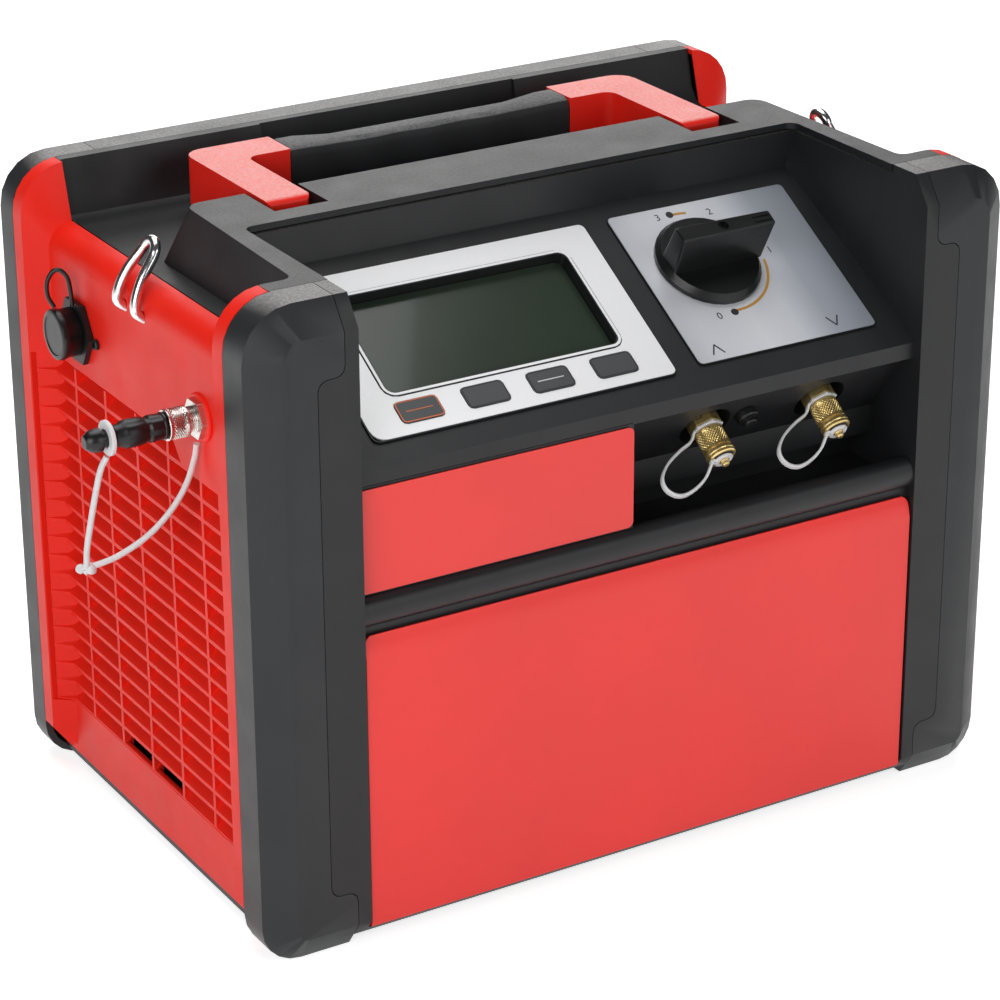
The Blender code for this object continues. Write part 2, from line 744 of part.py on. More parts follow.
def front_frame():
    """The moulded front: two stiles, bar, port bay, sloped panel and the tub around it"""
    body = end_slab(0, True, GUARD_DEPTH)
    body = keep(body, prism(frame_region(GAP), "Y", -0.01, GUARD_DEPTH + 0.02))
    body = cut(body, box((-HALF, -0.01, -0.01), (HALF, 0.05, FRAME_FOOT)))
    hollow = end_slab(GUARD_WALL, True, GUARD_DEPTH)
    hollow = keep(hollow, prism(frame_region(GAP + GUARD_WALL), "Y", -0.01, GUARD_DEPTH + 0.02))
    hollow = cut(
        hollow,
        box((-HALF, -0.01, -0.01), (HALF, 0.05, FRAME_FOOT + WALL)),
        box((-OPENING - WALL, -0.01, -0.01), (OPENING + WALL, 0.05, HEIGHT)),
    )
    body = cut(body, hollow, box((-OPENING, -0.01, FRAME_FOOT + WALL), (OPENING, 0.05, HEIGHT + 0.01)))
    bar = prism(bar_outline(), "X", -OPENING - 0.001, OPENING + 0.001)
    label_skin = prism(sheet(label_points(), WALL), "X", -OPENING - 0.001, BAY_LEFT - WALL / 2)
    bay_skin = prism(sheet(bay_points(), WALL), "X", BAY_LEFT - WALL / 2, OPENING + 0.001)
    bay_left = prism(bay_side_outline(), "X", BAY_LEFT - WALL, BAY_LEFT)
    bay_right = prism(bay_side_outline(), "X", OPENING, OPENING + WALL)
    body = fuse(body, bar, label_skin, bay_skin, bay_left, bay_right, tub_wall(-1), tub_wall(1))
    cups = []
    cup_hollows = []
    for x in port_places():
        place = toward(port_point(x), port_direction())
        cups.append(turned(
            [(0, -CUP_DEPTH - WALL), (CUP_RADIUS + WALL, -CUP_DEPTH - WALL), (CUP_RADIUS + WALL, -0.001),
             (0, -0.001)],
            place, 18,
        ))
        cup_hollows.append(turned(
            [(0, -CUP_DEPTH), (CUP_RADIUS, -CUP_DEPTH), (CUP_RADIUS, 0.01), (0, 0.01)], place, 18
        ))
        cup_hollows.append(turned(
            [(0, -0.03), (TAIL_RADIUS + GAP, -0.03), (TAIL_RADIUS + GAP, 0), (0, 0)], place, 12
        ))
    bosses = [
        on_panel(turned([(0, -BLOCK_SINK + GAP), (BOSS_RADIUS, -BLOCK_SINK + GAP), (BOSS_RADIUS, -0.001),
                         (0, -0.001)],
                        Matrix.Translation((x, v, 0)), 10))
        for x, v in boss_places()
    ]
    body = fuse(body, *cups, *bosses)
    collar = RESET_BUTTON_RADIUS + 0.0012 + GAP
    reset_hole = turned([(0, -0.01), (collar, -0.01), (collar, 0.01), (0, 0.01)], reset_place(), 16)
    stem_hole = on_panel(turned(
        [(0, -0.01), (STEM_RADIUS + 2 * GAP, -0.01), (STEM_RADIUS + 2 * GAP, 0.01), (0, 0.01)],
        Matrix.Translation((KNOB_X, KNOB_V, 0)), 16,
    ))
    window = panel_plate(window_outline(BEZEL_WALL + GAP), -0.02, 0.01)
    keys = [panel_plate(key_outline(place, GAP), -0.01, 0.01) for place in key_places()]
    return tidy(cut(body, *cup_hollows, reset_hole, stem_hole, window, *keys))


def front_panel():
    """The folded red sheet that closes the front"""
    top = BAR_FOOT + 0.0012
    back = PANEL_FACE_Y + PANEL_LEAN
    points = [(back, PANEL_FOOT), (PANEL_FACE_Y, PANEL_FOOT + 0.0006), (PANEL_FACE_Y, top - PANEL_FOLD),
              (back, top)]
    half = OPENING - PANEL_SIDE_GAP
    panel = prism(sheet(points, PANEL_SHEET), "X", -half, half)
    corners = rectangle((-half, PANEL_FOOT - 0.01), (half, top + 0.0002))
    trim = prism(rounded(corners, [0, 0, PANEL_CORNER, PANEL_CORNER]), "Y", -0.01, 0.03)
    return tidy(keep(panel, trim))


def label_plate():
    low = (-OPENING + 0.0006, LABEL_FOOT + 0.0006)
    high = (BAY_LEFT - 0.0004, LIP_BOTTOM - 0.0012)
    return prism(rounded(rectangle(low, high), 0.003), "Y", LIP_Y, LIP_Y + 0.0006)


def display_fascia():
    corners = rectangle((FASCIA_LEFT, FASCIA_FOOT), (FASCIA_RIGHT, FASCIA_FOOT + FASCIA_HEIGHT))
    outline = rounded(corners, [FASCIA_FOOT_RADIUS] + [FASCIA_RADIUS] * 3)
    plate = panel_plate(outline, GAP, FASCIA_TOP)
    holes = [panel_plate(key_outline(place, GAP), -0.01, 0.01) for place in key_places()]
    return cut(plate, panel_plate(window_outline(BEZEL_WALL + GAP), -0.01, 0.01), *holes)


def display_bezel():
    """The display's tray, let into the panel from behind and open to the glass"""
    floor = -GLASS_SINK - 0.0045
    tray = panel_plate(window_outline(BEZEL_WALL), floor, FASCIA_TOP + 0.0004)
    return cut(tray, panel_plate(window_outline(0), floor + 0.0015, 0.01))


def display_glass():
    outline = window_outline(-GAP)
    return panel_plate(outline, -GLASS_SINK - 0.003 + GAP, -GLASS_SINK)


def key(place):
    return panel_plate(key_outline(place, 0), -WALL, FASCIA_TOP + KEY_RISE)


def key_board():
    """The board with the key switches, held under the keys"""
    low = (FASCIA_LEFT + 0.004, FASCIA_FOOT + KEY_FOOT - 0.002)
    high = (FASCIA_RIGHT - 0.004, FASCIA_FOOT + KEY_FOOT + KEY_HEIGHT + 0.001)
    top = -WALL - 2 * GAP - KEY_RISE / 2
    return panel_plate(rectangle(low, high), top - 0.0016, top)


def selector_plate():
    left = OPENING - PLATE_SIDE_MARGIN - PLATE_WIDTH
    outline = rounded(rectangle((left, PLATE_FOOT), (left + PLATE_WIDTH, PLATE_FOOT + PLATE_HEIGHT)),
                      PLATE_RADIUS)
    hole_radius = STEM_RADIUS + 2 * GAP
    hole = turned([(0, -0.01), (hole_radius, -0.01), (hole_radius, 0.01), (0, 0.01)],
                  Matrix.Translation((KNOB_X, KNOB_V, 0)), 16)
    return cut(panel_plate(outline, GAP, GAP + PLATE_THICKNESS), on_panel(hole))


def selector_knob():
    """A skirted knob with a tapered grip bar, drawn at its own origin with its axis along Z"""
    base = 2 * GAP + PLATE_THICKNESS
    skirt = turned(
        [(0, base), (SKIRT_RADIUS, base), (SKIRT_RADIUS, base + 0.0022),
         (SKIRT_RADIUS - 0.0022, SKIRT_HEIGHT),
         (0, SKIRT_HEIGHT)],
        Matrix.Identity(4), 32,
    )
    rings = []
    for height, width, drawn in (
        (SKIRT_HEIGHT - 0.0016, GRIP_FOOT_WIDTH, 0.0012),
        (KNOB_HEIGHT - 0.0008, GRIP_TOP_WIDTH, 0),
        (KNOB_HEIGHT, GRIP_TOP_WIDTH - 0.0014, 0.0007),
    ):
        tail = GRIP_TAIL - drawn
        pointer = GRIP_POINTER - drawn
        narrow = width * GRIP_TAPER / 2
        corners = [(-tail, -width / 2), (pointer, -narrow), (pointer, narrow), (-tail, width / 2)]
        ring = rounded(corners, [0.0012, 0.0008, 0.0008, 0.0012], 2)
        rings.append([(x, y, height) for x, y in ring])
    dimple = turned(
        [(0, KNOB_HEIGHT - KNOB_DIMPLE_DEPTH), (KNOB_DIMPLE_RADIUS, KNOB_HEIGHT - KNOB_DIMPLE_DEPTH),
         (KNOB_DIMPLE_RADIUS, KNOB_HEIGHT + 0.01), (0, KNOB_HEIGHT + 0.01)],
        Matrix.Identity(4), 14,
    )
    bore = STEM_RADIUS + GAP
    stem_bore = turned(
        [(0, -0.01), (bore, -0.01), (bore, STEM_ENTRY + GAP), (0, STEM_ENTRY + GAP)], Matrix.Identity(4),
        16,
    )
    knob = cut(fuse(skirt, loft(rings)), dimple, stem_bore)
    knob.data.transform(panel_place() @ Matrix.Translation((KNOB_X, KNOB_V, 0)))
    return knob


def valve_stem():
    low = -BLOCK_SINK - 0.008
    profile = [(0, low), (STEM_RADIUS, low), (STEM_RADIUS, STEM_ENTRY), (0, STEM_ENTRY)]
    return on_panel(turned(profile, Matrix.Translation((KNOB_X, KNOB_V, 0)), 16))


def valve_block():
    """The manifold that the two ports and the selector's stem enter"""
    middle = (port_places()[0] + port_places()[1]) / 2
    reach = PORT_SPACING / 2 + BLOCK_SIDE
    outline = rounded(rectangle((middle - reach, BLOCK_FOOT), (middle + reach, BLOCK_FOOT + BLOCK_LENGTH)),
                      0.003, 2)
    block = panel_plate(outline, -BLOCK_SINK - BLOCK_THICKNESS, -BLOCK_SINK)
    bore = STEM_RADIUS + GAP
    seat = on_panel(turned(
        [(0, -BLOCK_SINK - 0.008 - GAP), (bore, -BLOCK_SINK - 0.008 - GAP), (bore, 0), (0, 0)],
        Matrix.Translation((KNOB_X, KNOB_V, 0)), 16,
    ))
    sockets = [
        turned([(0, -0.04), (TAIL_RADIUS + GAP, -0.04), (TAIL_RADIUS + GAP, 0), (0, 0)],
               toward(port_point(x), port_direction()), 12)
        for x in port_places()
    ]
    return tidy(cut(block, seat, *sockets))


def service_port(x):
    """A brass flare fitting with a hexagon, bored through its nose"""
    start = -CUP_DEPTH + GAP
    place = toward(port_point(x), port_direction())
    hexagon = turned(
        [(0, start), (HEX_FLATS / math.sqrt(3), start), (HEX_FLATS / math.sqrt(3), start + HEX_LENGTH),
         (0, start + HEX_LENGTH)],
        place @ Matrix.Rotation(math.radians(30), 4, "Z"), 6,
    )
    nose = turned(
        [(0, -0.04 + GAP), (TAIL_RADIUS, -0.04 + GAP), (TAIL_RADIUS, start + 0.001),
         (NOSE_RADIUS, start + 0.001),
         (NOSE_RADIUS, start + HEX_LENGTH + NOSE_LENGTH - 0.002),
         (NOSE_RADIUS - 0.002, start + HEX_LENGTH + NOSE_LENGTH), (0, start + HEX_LENGTH + NOSE_LENGTH)],
        place, 12,
    )
    bore = turned([(0, -0.02), (PORT_BORE, -0.02), (PORT_BORE, 0.03), (0, 0.03)], place, 8)
    return cut(fuse(hexagon, nose), bore)


def cap_start():
    """Where a cap begins on its port's axis, past the hexagon and the strap's ring"""
    return -CUP_DEPTH + GAP + HEX_LENGTH + STRAP_THICKNESS + 2 * GAP


def port_cap(x):
    """A knurled brass cap with a smooth rim and a riveted stud"""
    start = cap_start()
    bore = NOSE_RADIUS + GAP
    depth = NOSE_LENGTH - STRAP_THICKNESS
    end = start + CAP_LENGTH
    profile = [
        (bore, start), (CAP_RADIUS - 0.0004, start), (CAP_RADIUS, start + 0.0005),
        (CAP_RADIUS, end - 0.0042),
        (CAP_RADIUS - 0.0007, end - 0.0038), (CAP_RADIUS - 0.0007, end - 0.0026),
        (CAP_RADIUS, end - 0.0022),
        (CAP_RADIUS, end), (STUD_RADIUS, end), (STUD_RADIUS, end + 0.0042),
        (0, end + 0.0042), (0, start + depth), (bore, start + depth),
    ]
    return turned(profile, toward(port_point(x), port_direction()), 18, closed=True)


def strap_ring(inner, outer, low, high, place, steps=16):
    return turned([(inner, low), (outer, low), (outer, high), (inner, high)], place, steps, closed=True)


def strap_band(route, across, width, thickness):
    """A flat band that follows a route, its width laid along a fixed direction"""
    rings = []
    for index, point in enumerate(route):
        before = route[max(index - 1, 0)]
        after = route[min(index + 1, len(route) - 1)]
        run = (Vector(after) - Vector(before)).normalized()
        out = run.cross(across).normalized()
        side = out.cross(run).normalized()
        corners = ((-1, -1), (1, -1), (1, 1), (-1, 1))
        rings.append([
            Vector(point) + side * (width / 2 * a) + out * (thickness / 2 * b) for a, b in corners
        ])
    return loft(rings)


def strap_ends(x):
    """The placing matrix of a cap's strap and the middles of its two rings along the axis"""
    place = toward(port_point(x), port_direction())
    bottom = cap_start() - GAP - STRAP_THICKNESS / 2
    top = cap_start() + CAP_LENGTH + GAP + STRAP_THICKNESS / 2
    return place, bottom, top


def cap_strap(x):
    """The nylon strap from the ring on a port's neck round to the cap's end"""
    place, bottom, top = strap_ends(x)
    neck = strap_ring(NOSE_RADIUS + GAP, NOSE_RADIUS + 0.0034, bottom - STRAP_THICKNESS / 2,
                      bottom + STRAP_THICKNESS / 2, place)
    points = [
        (-0.0072, bottom), (-0.013, bottom + 0.0008), (-0.022, bottom + 0.006), (-0.0305, bottom + 0.0135),
        (-0.0345, bottom + 0.0195), (-0.034, bottom + 0.0245), (-0.029, bottom + 0.0272),
        (-0.021, bottom + 0.0255), (-0.0135, bottom + 0.0215), (-STRAP_TAB - GAP, top + 0.0004),
    ]
    route = [place @ Vector((across, 0, along)) for across, along in points]
    band = strap_band(route, place.to_3x3() @ Vector((0, 1, 0)), 0.0026, 0.0012)
    return tidy(fuse(neck, band))


def cap_ring(x):
    """The strap's end ring on the cap's stud, with the tab that the strap joins"""
    place, _, top = strap_ends(x)
    half = STRAP_THICKNESS / 2
    ring = strap_ring(STUD_RADIUS + GAP, STUD_RADIUS + 0.0026, top - half, top + half, place, 12)
    tab = box((-STRAP_TAB, -0.0013, top - half + 0.0001),
              (-STUD_RADIUS - 0.0015, 0.0013, top + half - 0.0001))
    tab.data.transform(place)
    return tidy(fuse(ring, tab))


def reset_breaker():
    """The breaker's body behind the bay with the neck that its button runs in"""
    neck = RESET_BUTTON_RADIUS + 0.0012
    shoulder = -CUP_DEPTH - WALL - GAP
    profile = [
        (0, -0.024), (0.0085, -0.024), (0.0085, shoulder), (neck, shoulder), (neck, RESET_COLLAR + 0.0006),
        (RESET_BUTTON_RADIUS + GAP, RESET_COLLAR + 0.0006), (RESET_BUTTON_RADIUS + GAP, -0.008),
        (0, -0.008),
    ]
    return turned(profile, reset_place(), 16)


def reset_collar():
    inner = RESET_BUTTON_RADIUS + 0.0012 + GAP
    return turned(
        [(inner, GAP), (RESET_RADIUS, GAP), (RESET_RADIUS, RESET_COLLAR - 0.0008),
         (RESET_RADIUS - 0.0008, RESET_COLLAR),
         (inner, RESET_COLLAR)],
        reset_place(), 16, closed=True,
    )


def reset_button():
    top = RESET_COLLAR + 0.0006 + RESET_RISE
    profile = [(0, -0.008 + 0.0024), (RESET_BUTTON_RADIUS, -0.008 + 0.0024),
               (RESET_BUTTON_RADIUS, top - 0.0005),
               (RESET_BUTTON_RADIUS - 0.0005, top), (0, top)]
    return turned(profile, reset_place(), 16)


def hump_outline(flare, inset):
    """The cover's raised top seen from above: hump at the back and an arm along each side"""
    reach = -0.012 if inset else 0
    inner_x = OPENING - 0.0004 + reach
    front = SHELL_FRONT + reach
    hump = HUMP_HALF + flare - inset
    arm = HALF - ARM_INSET + flare * 0.65 - inset
    rim = RIM_END - GAP - inset
    step_y = SHELL_FRONT + RIM_WIDTH + flare * 0.35 - inset
    right = [(inner_x, front), (rim, front), (rim, step_y), (arm, step_y),
             (hump, HUMP_REAR + flare - inset)]
    left = [(-x, y) for x, y in right[::-1]]
    corners = right + left + [(-inner_x, PANEL_END_Y + reach), (inner_x, PANEL_END_Y + reach)]
    radii = [0, 0, 0.001, 0.005, 0.008, 0.008, 0.005, 0.001, 0, 0, 0.005, 0.005]
    return rounded(corners, radii, 4)


def hump_solid(inset):
    """The cover's raised top as a tapered solid, or its hollow when inset"""
    rings = []
    for height, flare in ((HEIGHT - inset, 0), (DECK - 0.004, HUMP_FLARE)):
        rings.append([(x, y, height) for x, y in hump_outline(flare, inset)])
    return loft(rings)


def rear_wall_foot():
    return SHELL_REAR - STRIP_DEPTH - REAR_WALL_LEAN - REAR_WALL_FOOT * 0.35


def rear_strip():
    """The rear wall that rises from the deck, scooped out behind the handle's grip"""
    strip = SHELL_REAR - STRIP_DEPTH
    foot = rear_wall_foot()
    low = DECK - WALL + SEAT
    outline = [
        (foot - 0.004, low), (foot - 0.004, DECK - SEAT), (foot + 0.002, DECK + 0.0018),
        (foot + 0.006, DECK + 0.008),
        (strip, HEIGHT), (SHELL_REAR, HEIGHT), (SHELL_REAR, DECK - 0.006),
        (SHELL_REAR - WALL, DECK - 0.006),
        (SHELL_REAR - WALL, low),
    ]
    hollow = [
        (foot + 0.004, low - 0.01), (foot + 0.0045, DECK - 0.0005), (foot + 0.0088, DECK + 0.0075),
        (strip + WALL, HEIGHT - WALL), (SHELL_REAR - WALL + 0.0001, HEIGHT - WALL),
        (SHELL_REAR - WALL + 0.0001, low - 0.01),
    ]
    scoop = [
        (foot - 0.003, DECK + 0.0004), (foot + 0.008, DECK + 0.0024),
        (SHELL_REAR - WALL - 0.004, DECK + 0.012),
        (SHELL_REAR - WALL, HEIGHT + 0.01), (foot - 0.003, HEIGHT + 0.01),
    ]
    reach = RIM_END - GAP
    hollows = [prism(hollow, "X", -reach + WALL, -SCOOP_HALF - WALL),
               prism(hollow, "X", SCOOP_HALF + WALL, reach - WALL)]
    return cut(prism(outline, "X", -reach, reach), prism(scoop, "X", -SCOOP_HALF, SCOOP_HALF), *hollows)


def deck_plate():
    """The deck beside and behind the hump, open over the sloped panel's tub"""
    reach = RIM_END - GAP - SEAT
    inner = OPENING + WALL + 0.001
    front = SHELL_FRONT + SEAT
    back = PANEL_END_Y + WALL + 0.003
    rear = rear_wall_foot() + 0.003
    outline = [(-reach, front), (-inner, front), (-inner, back), (inner, back), (inner, front),
               (reach, front),
               (reach, rear), (-reach, rear)]
    return prism(outline, "Z", DECK - WALL, DECK)


def pocket_boxes(spare, low, high):
    """The two slots that the handle's arms lie in, widened by a wall"""
    boxes = []
    for side in (-1, 1):
        inner = ARM_OUTER - ARM_WIDTH - POCKET_SIDE - spare
        outer = ARM_OUTER + POCKET_SIDE + spare
        front = PIVOT_Y - PIVOT_AHEAD - POCKET_AHEAD - spare
        x_low, x_high = sorted((side * inner, side * outer))
        boxes.append(box((x_low, front, low), (x_high, HUMP_REAR + 0.02, high)))
    return boxes


def top_cover():
    """The moulded top: arms, hump with its handle pockets, deck and rear wall"""
    liners = [keep(pocket, hump_solid(SEAT)) for pocket in pocket_boxes(WALL, DECK - WALL + SEAT, HEIGHT)]
    under = box((-HALF, -0.01, DECK - 0.05), (HALF, HUMP_REAR + 0.03, DECK - WALL + SEAT))
    shell = cut(hump_solid(0), hump_solid(COVER_EDGE - 0.001), under)
    shell = fuse(shell, deck_plate(), rear_strip(), *liners)
    pin_holes = []
    for side in (-1, 1):
        x = side * (ARM_OUTER + POCKET_SIDE / 2)
        pin_holes.append(turned(
            [(0, -0.03), (PIN_RADIUS + GAP, -0.03), (PIN_RADIUS + GAP, 0.008), (0, 0.008)],
            toward((x, PIVOT_Y, PIVOT_Z), (side, 0, 0)), 16,
        ))
    return tidy(cut(shell, *pocket_boxes(0, DECK + SEAT, HEIGHT + 0.02), *pin_holes))


def handle_frame():
    """The U-shaped handle: two arms with rounded pivot ends and the two stubs of its bar"""
    arm_inner = ARM_OUTER - ARM_WIDTH
    low = HANDLE_TOP - HANDLE_HEIGHT
    front = PIVOT_Y - PIVOT_AHEAD
    bar_front = HANDLE_REAR - BAR_THICKNESS
    pieces = []
    for side in (-1, 1):
        corners = [(arm_inner, front), (ARM_OUTER, front), (ARM_OUTER, HANDLE_REAR),
                   (GRIP_HALF, HANDLE_REAR),
                   (GRIP_HALF, bar_front), (arm_inner, bar_front)]
        radii = [0.003, 0.003, ARM_CORNER, 0.0005, 0.0005, 0.006]
        outline = [(side * x, y) for x, y in rounded(corners, radii, 4)]
        arm = prism(outline, "Z", low, HANDLE_TOP)
        profile = rounded(rectangle((front, low), (HANDLE_REAR + 0.01, HANDLE_TOP)),
                          [HANDLE_HEIGHT / 2 - 0.001, 0.001, 0.001, 0.0035], 5)
        arm = keep(arm, prism(profile, "X", -HALF, HALF))
        hole = turned([(0, -0.03), (PIN_RADIUS + GAP, -0.03), (PIN_RADIUS + GAP, 0.03), (0, 0.03)],
                      toward((side * (arm_inner + ARM_WIDTH / 2), PIVOT_Y, PIVOT_Z), (1, 0, 0)), 16)
        pieces.append(cut(arm, hole))
    middle_y = HANDLE_REAR - BAR_THICKNESS / 2
    core = turned([(0, -GRIP_HALF - 0.002), (GRIP_CORE, -GRIP_HALF - 0.002), (GRIP_CORE, GRIP_HALF + 0.002),
                   (0, GRIP_HALF + 0.002)], toward((0, middle_y, PIVOT_Z), (1, 0, 0)), 12)
    return tidy(fuse(pieces[0], core, pieces[1]))


def handle_grip():
    """The black sleeve on the handle's bar, waisted, with finger notches underneath"""
    middle_y = HANDLE_REAR - BAR_THICKNESS / 2
    half_thick = BAR_THICKNESS / 2
    half_high = HANDLE_HEIGHT / 2
    rings = []
    count = 16
    for index in range(count + 1):
        x = (GRIP_HALF - GAP) * (2 * index / count - 1)
        near = max(0.0, 1 - abs(x) / (GRIP_HALF * 0.86))
        ease = min(1.0, near * 4)
        wave = 0.5 - 0.5 * math.cos(2 * math.pi * GRIP_WAVES * (x / (GRIP_HALF * 0.86) + 1) / 2)
        top = half_high - 0.0016 * ease
        bottom = half_high - ease * (0.0012 + 0.0018 * wave)
        front = half_thick - ease * (0.0016 + 0.0014 * wave)
        rear = half_thick - 0.0016 * ease
        corners = [(-front, -bottom), (rear, -bottom), (rear, top), (-front, top)]
        ring = rounded(corners, [0.006, 0.006, 0.005, 0.005], 2)
        rings.append([(x, middle_y + y, PIVOT_Z + z) for y, z in ring])
    bore = turned([(0, -GRIP_HALF - 0.01), (GRIP_CORE + GAP, -GRIP_HALF - 0.01),
                   (GRIP_CORE + GAP, GRIP_HALF + 0.01),
                   (0, GRIP_HALF + 0.01)], toward((0, middle_y, PIVOT_Z), (1, 0, 0)), 12)
    return tidy(cut(loft(rings), bore))


def pivot_pin(side):
    start = ARM_OUTER - ARM_WIDTH + 0.002
    end = ARM_OUTER + POCKET_SIDE + PIN_REACH
    profile = [(0, start), (PIN_RADIUS, start), (PIN_RADIUS, end), (0, end)]
    return turned(profile, toward((0, PIVOT_Y, PIVOT_Z), (side, 0, 0)), 16)


def shoulder_line(centre, radius):
    """The rounded upper edge of a side shell from its inner end down to its side"""
    steps = 5
    x, z = centre
    reach = RIM_END - x
    if reach < 0.0001:
        line = [(RIM_END, z + radius)]
        start = math.pi / 2
    else:
        line = []
        start = math.acos(reach / radius)
        steps += 1
    for step in range(steps + 1):
        angle = start * (1 - step / steps)
        line.append((x + radius * math.cos(angle), z + radius * math.sin(angle)))
    return line


def shell_outer(rim):
    """The outer line of a side shell's section from top to foot, as (x, z) for the right side"""
    if rim:
        line = shoulder_line((HALF - TOP_RADIUS, HEIGHT - TOP_RADIUS), TOP_RADIUS)
        return line + [(HALF, RIM_FOOT_HEIGHT), (SIDE, SHELL_FOOT_HEIGHT)]
    line = shoulder_line((SIDE - SHOULDER_RADIUS, DECK - SHOULDER_RADIUS), SHOULDER_RADIUS)
    return line + [(SIDE, RIM_FOOT_HEIGHT), (SIDE, SHELL_FOOT_HEIGHT)]


def shell_section(rim):
    """A closed section of a side shell, its inner line drawn in by the wall"""
    line = shell_outer(rim)
    inner = []
    top = line[0][1]
    for x, z in line[1:-1]:
        middle_x = HALF - TOP_RADIUS if rim else SIDE - SHOULDER_RADIUS
        middle_z = (HEIGHT - TOP_RADIUS) if rim else (DECK - SHOULDER_RADIUS)
        radius = TOP_RADIUS if rim else SHOULDER_RADIUS
        if z > middle_z:
            share = (radius - WALL) / radius
            inner.append((middle_x + (x - middle_x) * share, middle_z + (z - middle_z) * share))
        else:
            inner.append((x - WALL, z + (WALL * 0.4 if rim else 0)))
    foot = (SIDE - WALL, SHELL_FOOT_HEIGHT)
    return line + [foot] + inner[::-1] + [(line[0][0], top - WALL)]


def shell_edge(y):
    """How far the shell's outer face stands off its sunk face at one depth"""
    front = (SHELL_FRONT + RIM_WIDTH + RAMP_LENGTH - y) / RAMP_LENGTH
    rear = (y - (SHELL_REAR - RIM_WIDTH - RAMP_LENGTH)) / RAMP_LENGTH
    return SIDE_INSET * min(1.0, max(0.0, front, rear))


def grille_area(side):
    """The opening that the louvres fill, lower beside the sensor socket"""
    top = GRILLE_FOOT + GRILLE_PITCH * GRILLE_ROWS
    front = SHELL_FRONT + RIM_WIDTH * 0.9
    rear = SHELL_REAR - RIM_WIDTH * 1.05
    patch_top = top - GRILLE_PITCH
    outline = [(front, GRILLE_FOOT), (rear, GRILLE_FOOT), (rear, top), (PATCH_Y + 0.004, top),
               (PATCH_Y - 0.004, patch_top),
               (front, patch_top)]
    low, high = sorted((side * (SIDE - 0.006), side * (HALF + 0.01)))
    return prism(outline, "X", low, high)


def louvre(side, row):
    """One slanted blade with the rib along its outer edge, following the rims at its ends"""
    foot = GRILLE_FOOT + GRILLE_PITCH * row
    levels = (SHELL_FRONT + RIM_WIDTH * 0.7, SUNK_FRONT, SUNK_REAR, SHELL_REAR - RIM_WIDTH * 0.8)
    rings = []
    for y in levels:
        out = SIDE + shell_edge(y) * 0.92 - RIB_SINK
        ring = [(out, foot - RIB_HEIGHT / 2), (out, foot + RIB_HEIGHT / 2),
                (SIDE - BLADE_DEPTH, foot + BLADE_RISE),
                (SIDE - BLADE_DEPTH, foot + BLADE_RISE - BLADE_THICKNESS)]
        rings.append([(side * x, y, z) for x, z in ring])
    return loft(rings)


def divider(side, index):
    rear = SUNK_REAR - DIVIDER_PITCH * (index + DIVIDER_FIRST)
    low, high = sorted((side * (SIDE - 0.005), side * (SIDE - 0.0002)))
    return box((low, rear - DIVIDER_WIDTH / 2, GRILLE_FOOT - 0.002),
               (high, rear + DIVIDER_WIDTH / 2, GRILLE_FOOT + GRILLE_PITCH * GRILLE_ROWS - 0.001))


def pocket_floor(side, rim, sunk):
    """The closed back of the louvres along one ramp, between a rim and the sunk wall"""
    rings = []
    for y, drawn in ((rim, 0.0018), (sunk, POCKET_DEPTH)):
        out = SIDE + shell_edge(y) - drawn
        ring = [(out, GRILLE_FOOT - 0.0017), (out, DECK - GRILLE_TOP_DROP + 0.0013),
                (out - POCKET_FLOOR, DECK - GRILLE_TOP_DROP + 0.0013),
                (out - POCKET_FLOOR, GRILLE_FOOT - 0.0017)]
        rings.append([(side * x, y, z) for x, z in ring])
    return loft(rings)


def foot_slot(side, bar):
    """One of the open slots in the closed lowest row of louvres, between two dividers"""
    rear = SUNK_REAR - DIVIDER_PITCH * (bar + DIVIDER_FIRST) - DIVIDER_WIDTH / 2 - SEAT
    low, high = sorted((side * (SIDE - 0.012), side * (SIDE + 0.01)))
    return box((low, rear - DIVIDER_PITCH + DIVIDER_WIDTH + 2 * SEAT, GRILLE_FOOT + RIB_HEIGHT / 2 + SEAT),
               (high, rear, GRILLE_FOOT + GRILLE_PITCH - RIB_HEIGHT / 2 - SEAT))


def side_shell(side):
    """The moulded red side: sunk wall, flush rims front and rear, rolled shoulder and louvres"""
    levels = (
        (SHELL_FRONT, True), (SHELL_FRONT + RIM_WIDTH, True), (SUNK_FRONT, False),
        (SUNK_REAR, False), (SHELL_REAR - RIM_WIDTH, True), (SHELL_REAR, True),
    )
    rings = [[(side * x, y, z) for x, z in shell_section(rim)] for y, rim in levels]
    shell = cut(loft(rings), grille_area(side))
    floors = [pocket_floor(side, SHELL_REAR - RIM_WIDTH * 0.9, SUNK_REAR - 1.4 * SEAT),
              pocket_floor(side, SHELL_FRONT + RIM_WIDTH * 0.8, SUNK_FRONT + SEAT)]
    bars = [louvre(side, row) for row in range(GRILLE_ROWS)]
    dividers = [divider(side, index) for index in range(DIVIDER_COUNT)]
    shell = fuse(shell, *bars, *dividers, *floors)
    holes = eye_holes(side) + [foot_slot(side, bar) for bar in SLOT_BARS]
    if side < 0:
        holes.append(turned([(0, -0.01), (0.0105 + GAP, -0.01), (0.0105 + GAP, 0.01), (0, 0.01)],
                            toward((-SIDE, FLANGE_Y, FLANGE_Z), (-1, 0, 0)), 20))
        holes.append(turned([(0, -0.01), (0.006 + GAP, -0.01), (0.006 + GAP, 0.01), (0, 0.01)],
                            toward((-SIDE, SOCKET_Y, SOCKET_Z), (-1, 0, 0)), 16))
    return tidy(cut(shell, *holes))


def eye_leg():
    """Where a strap eye's leg ends inside the shell and where it bends outside, as (x, z)"""
    return (SIDE - 0.0085, DECK - SHOULDER_RADIUS - 0.0075), (SIDE + 0.0042, DECK - SHOULDER_RADIUS + 0.001)


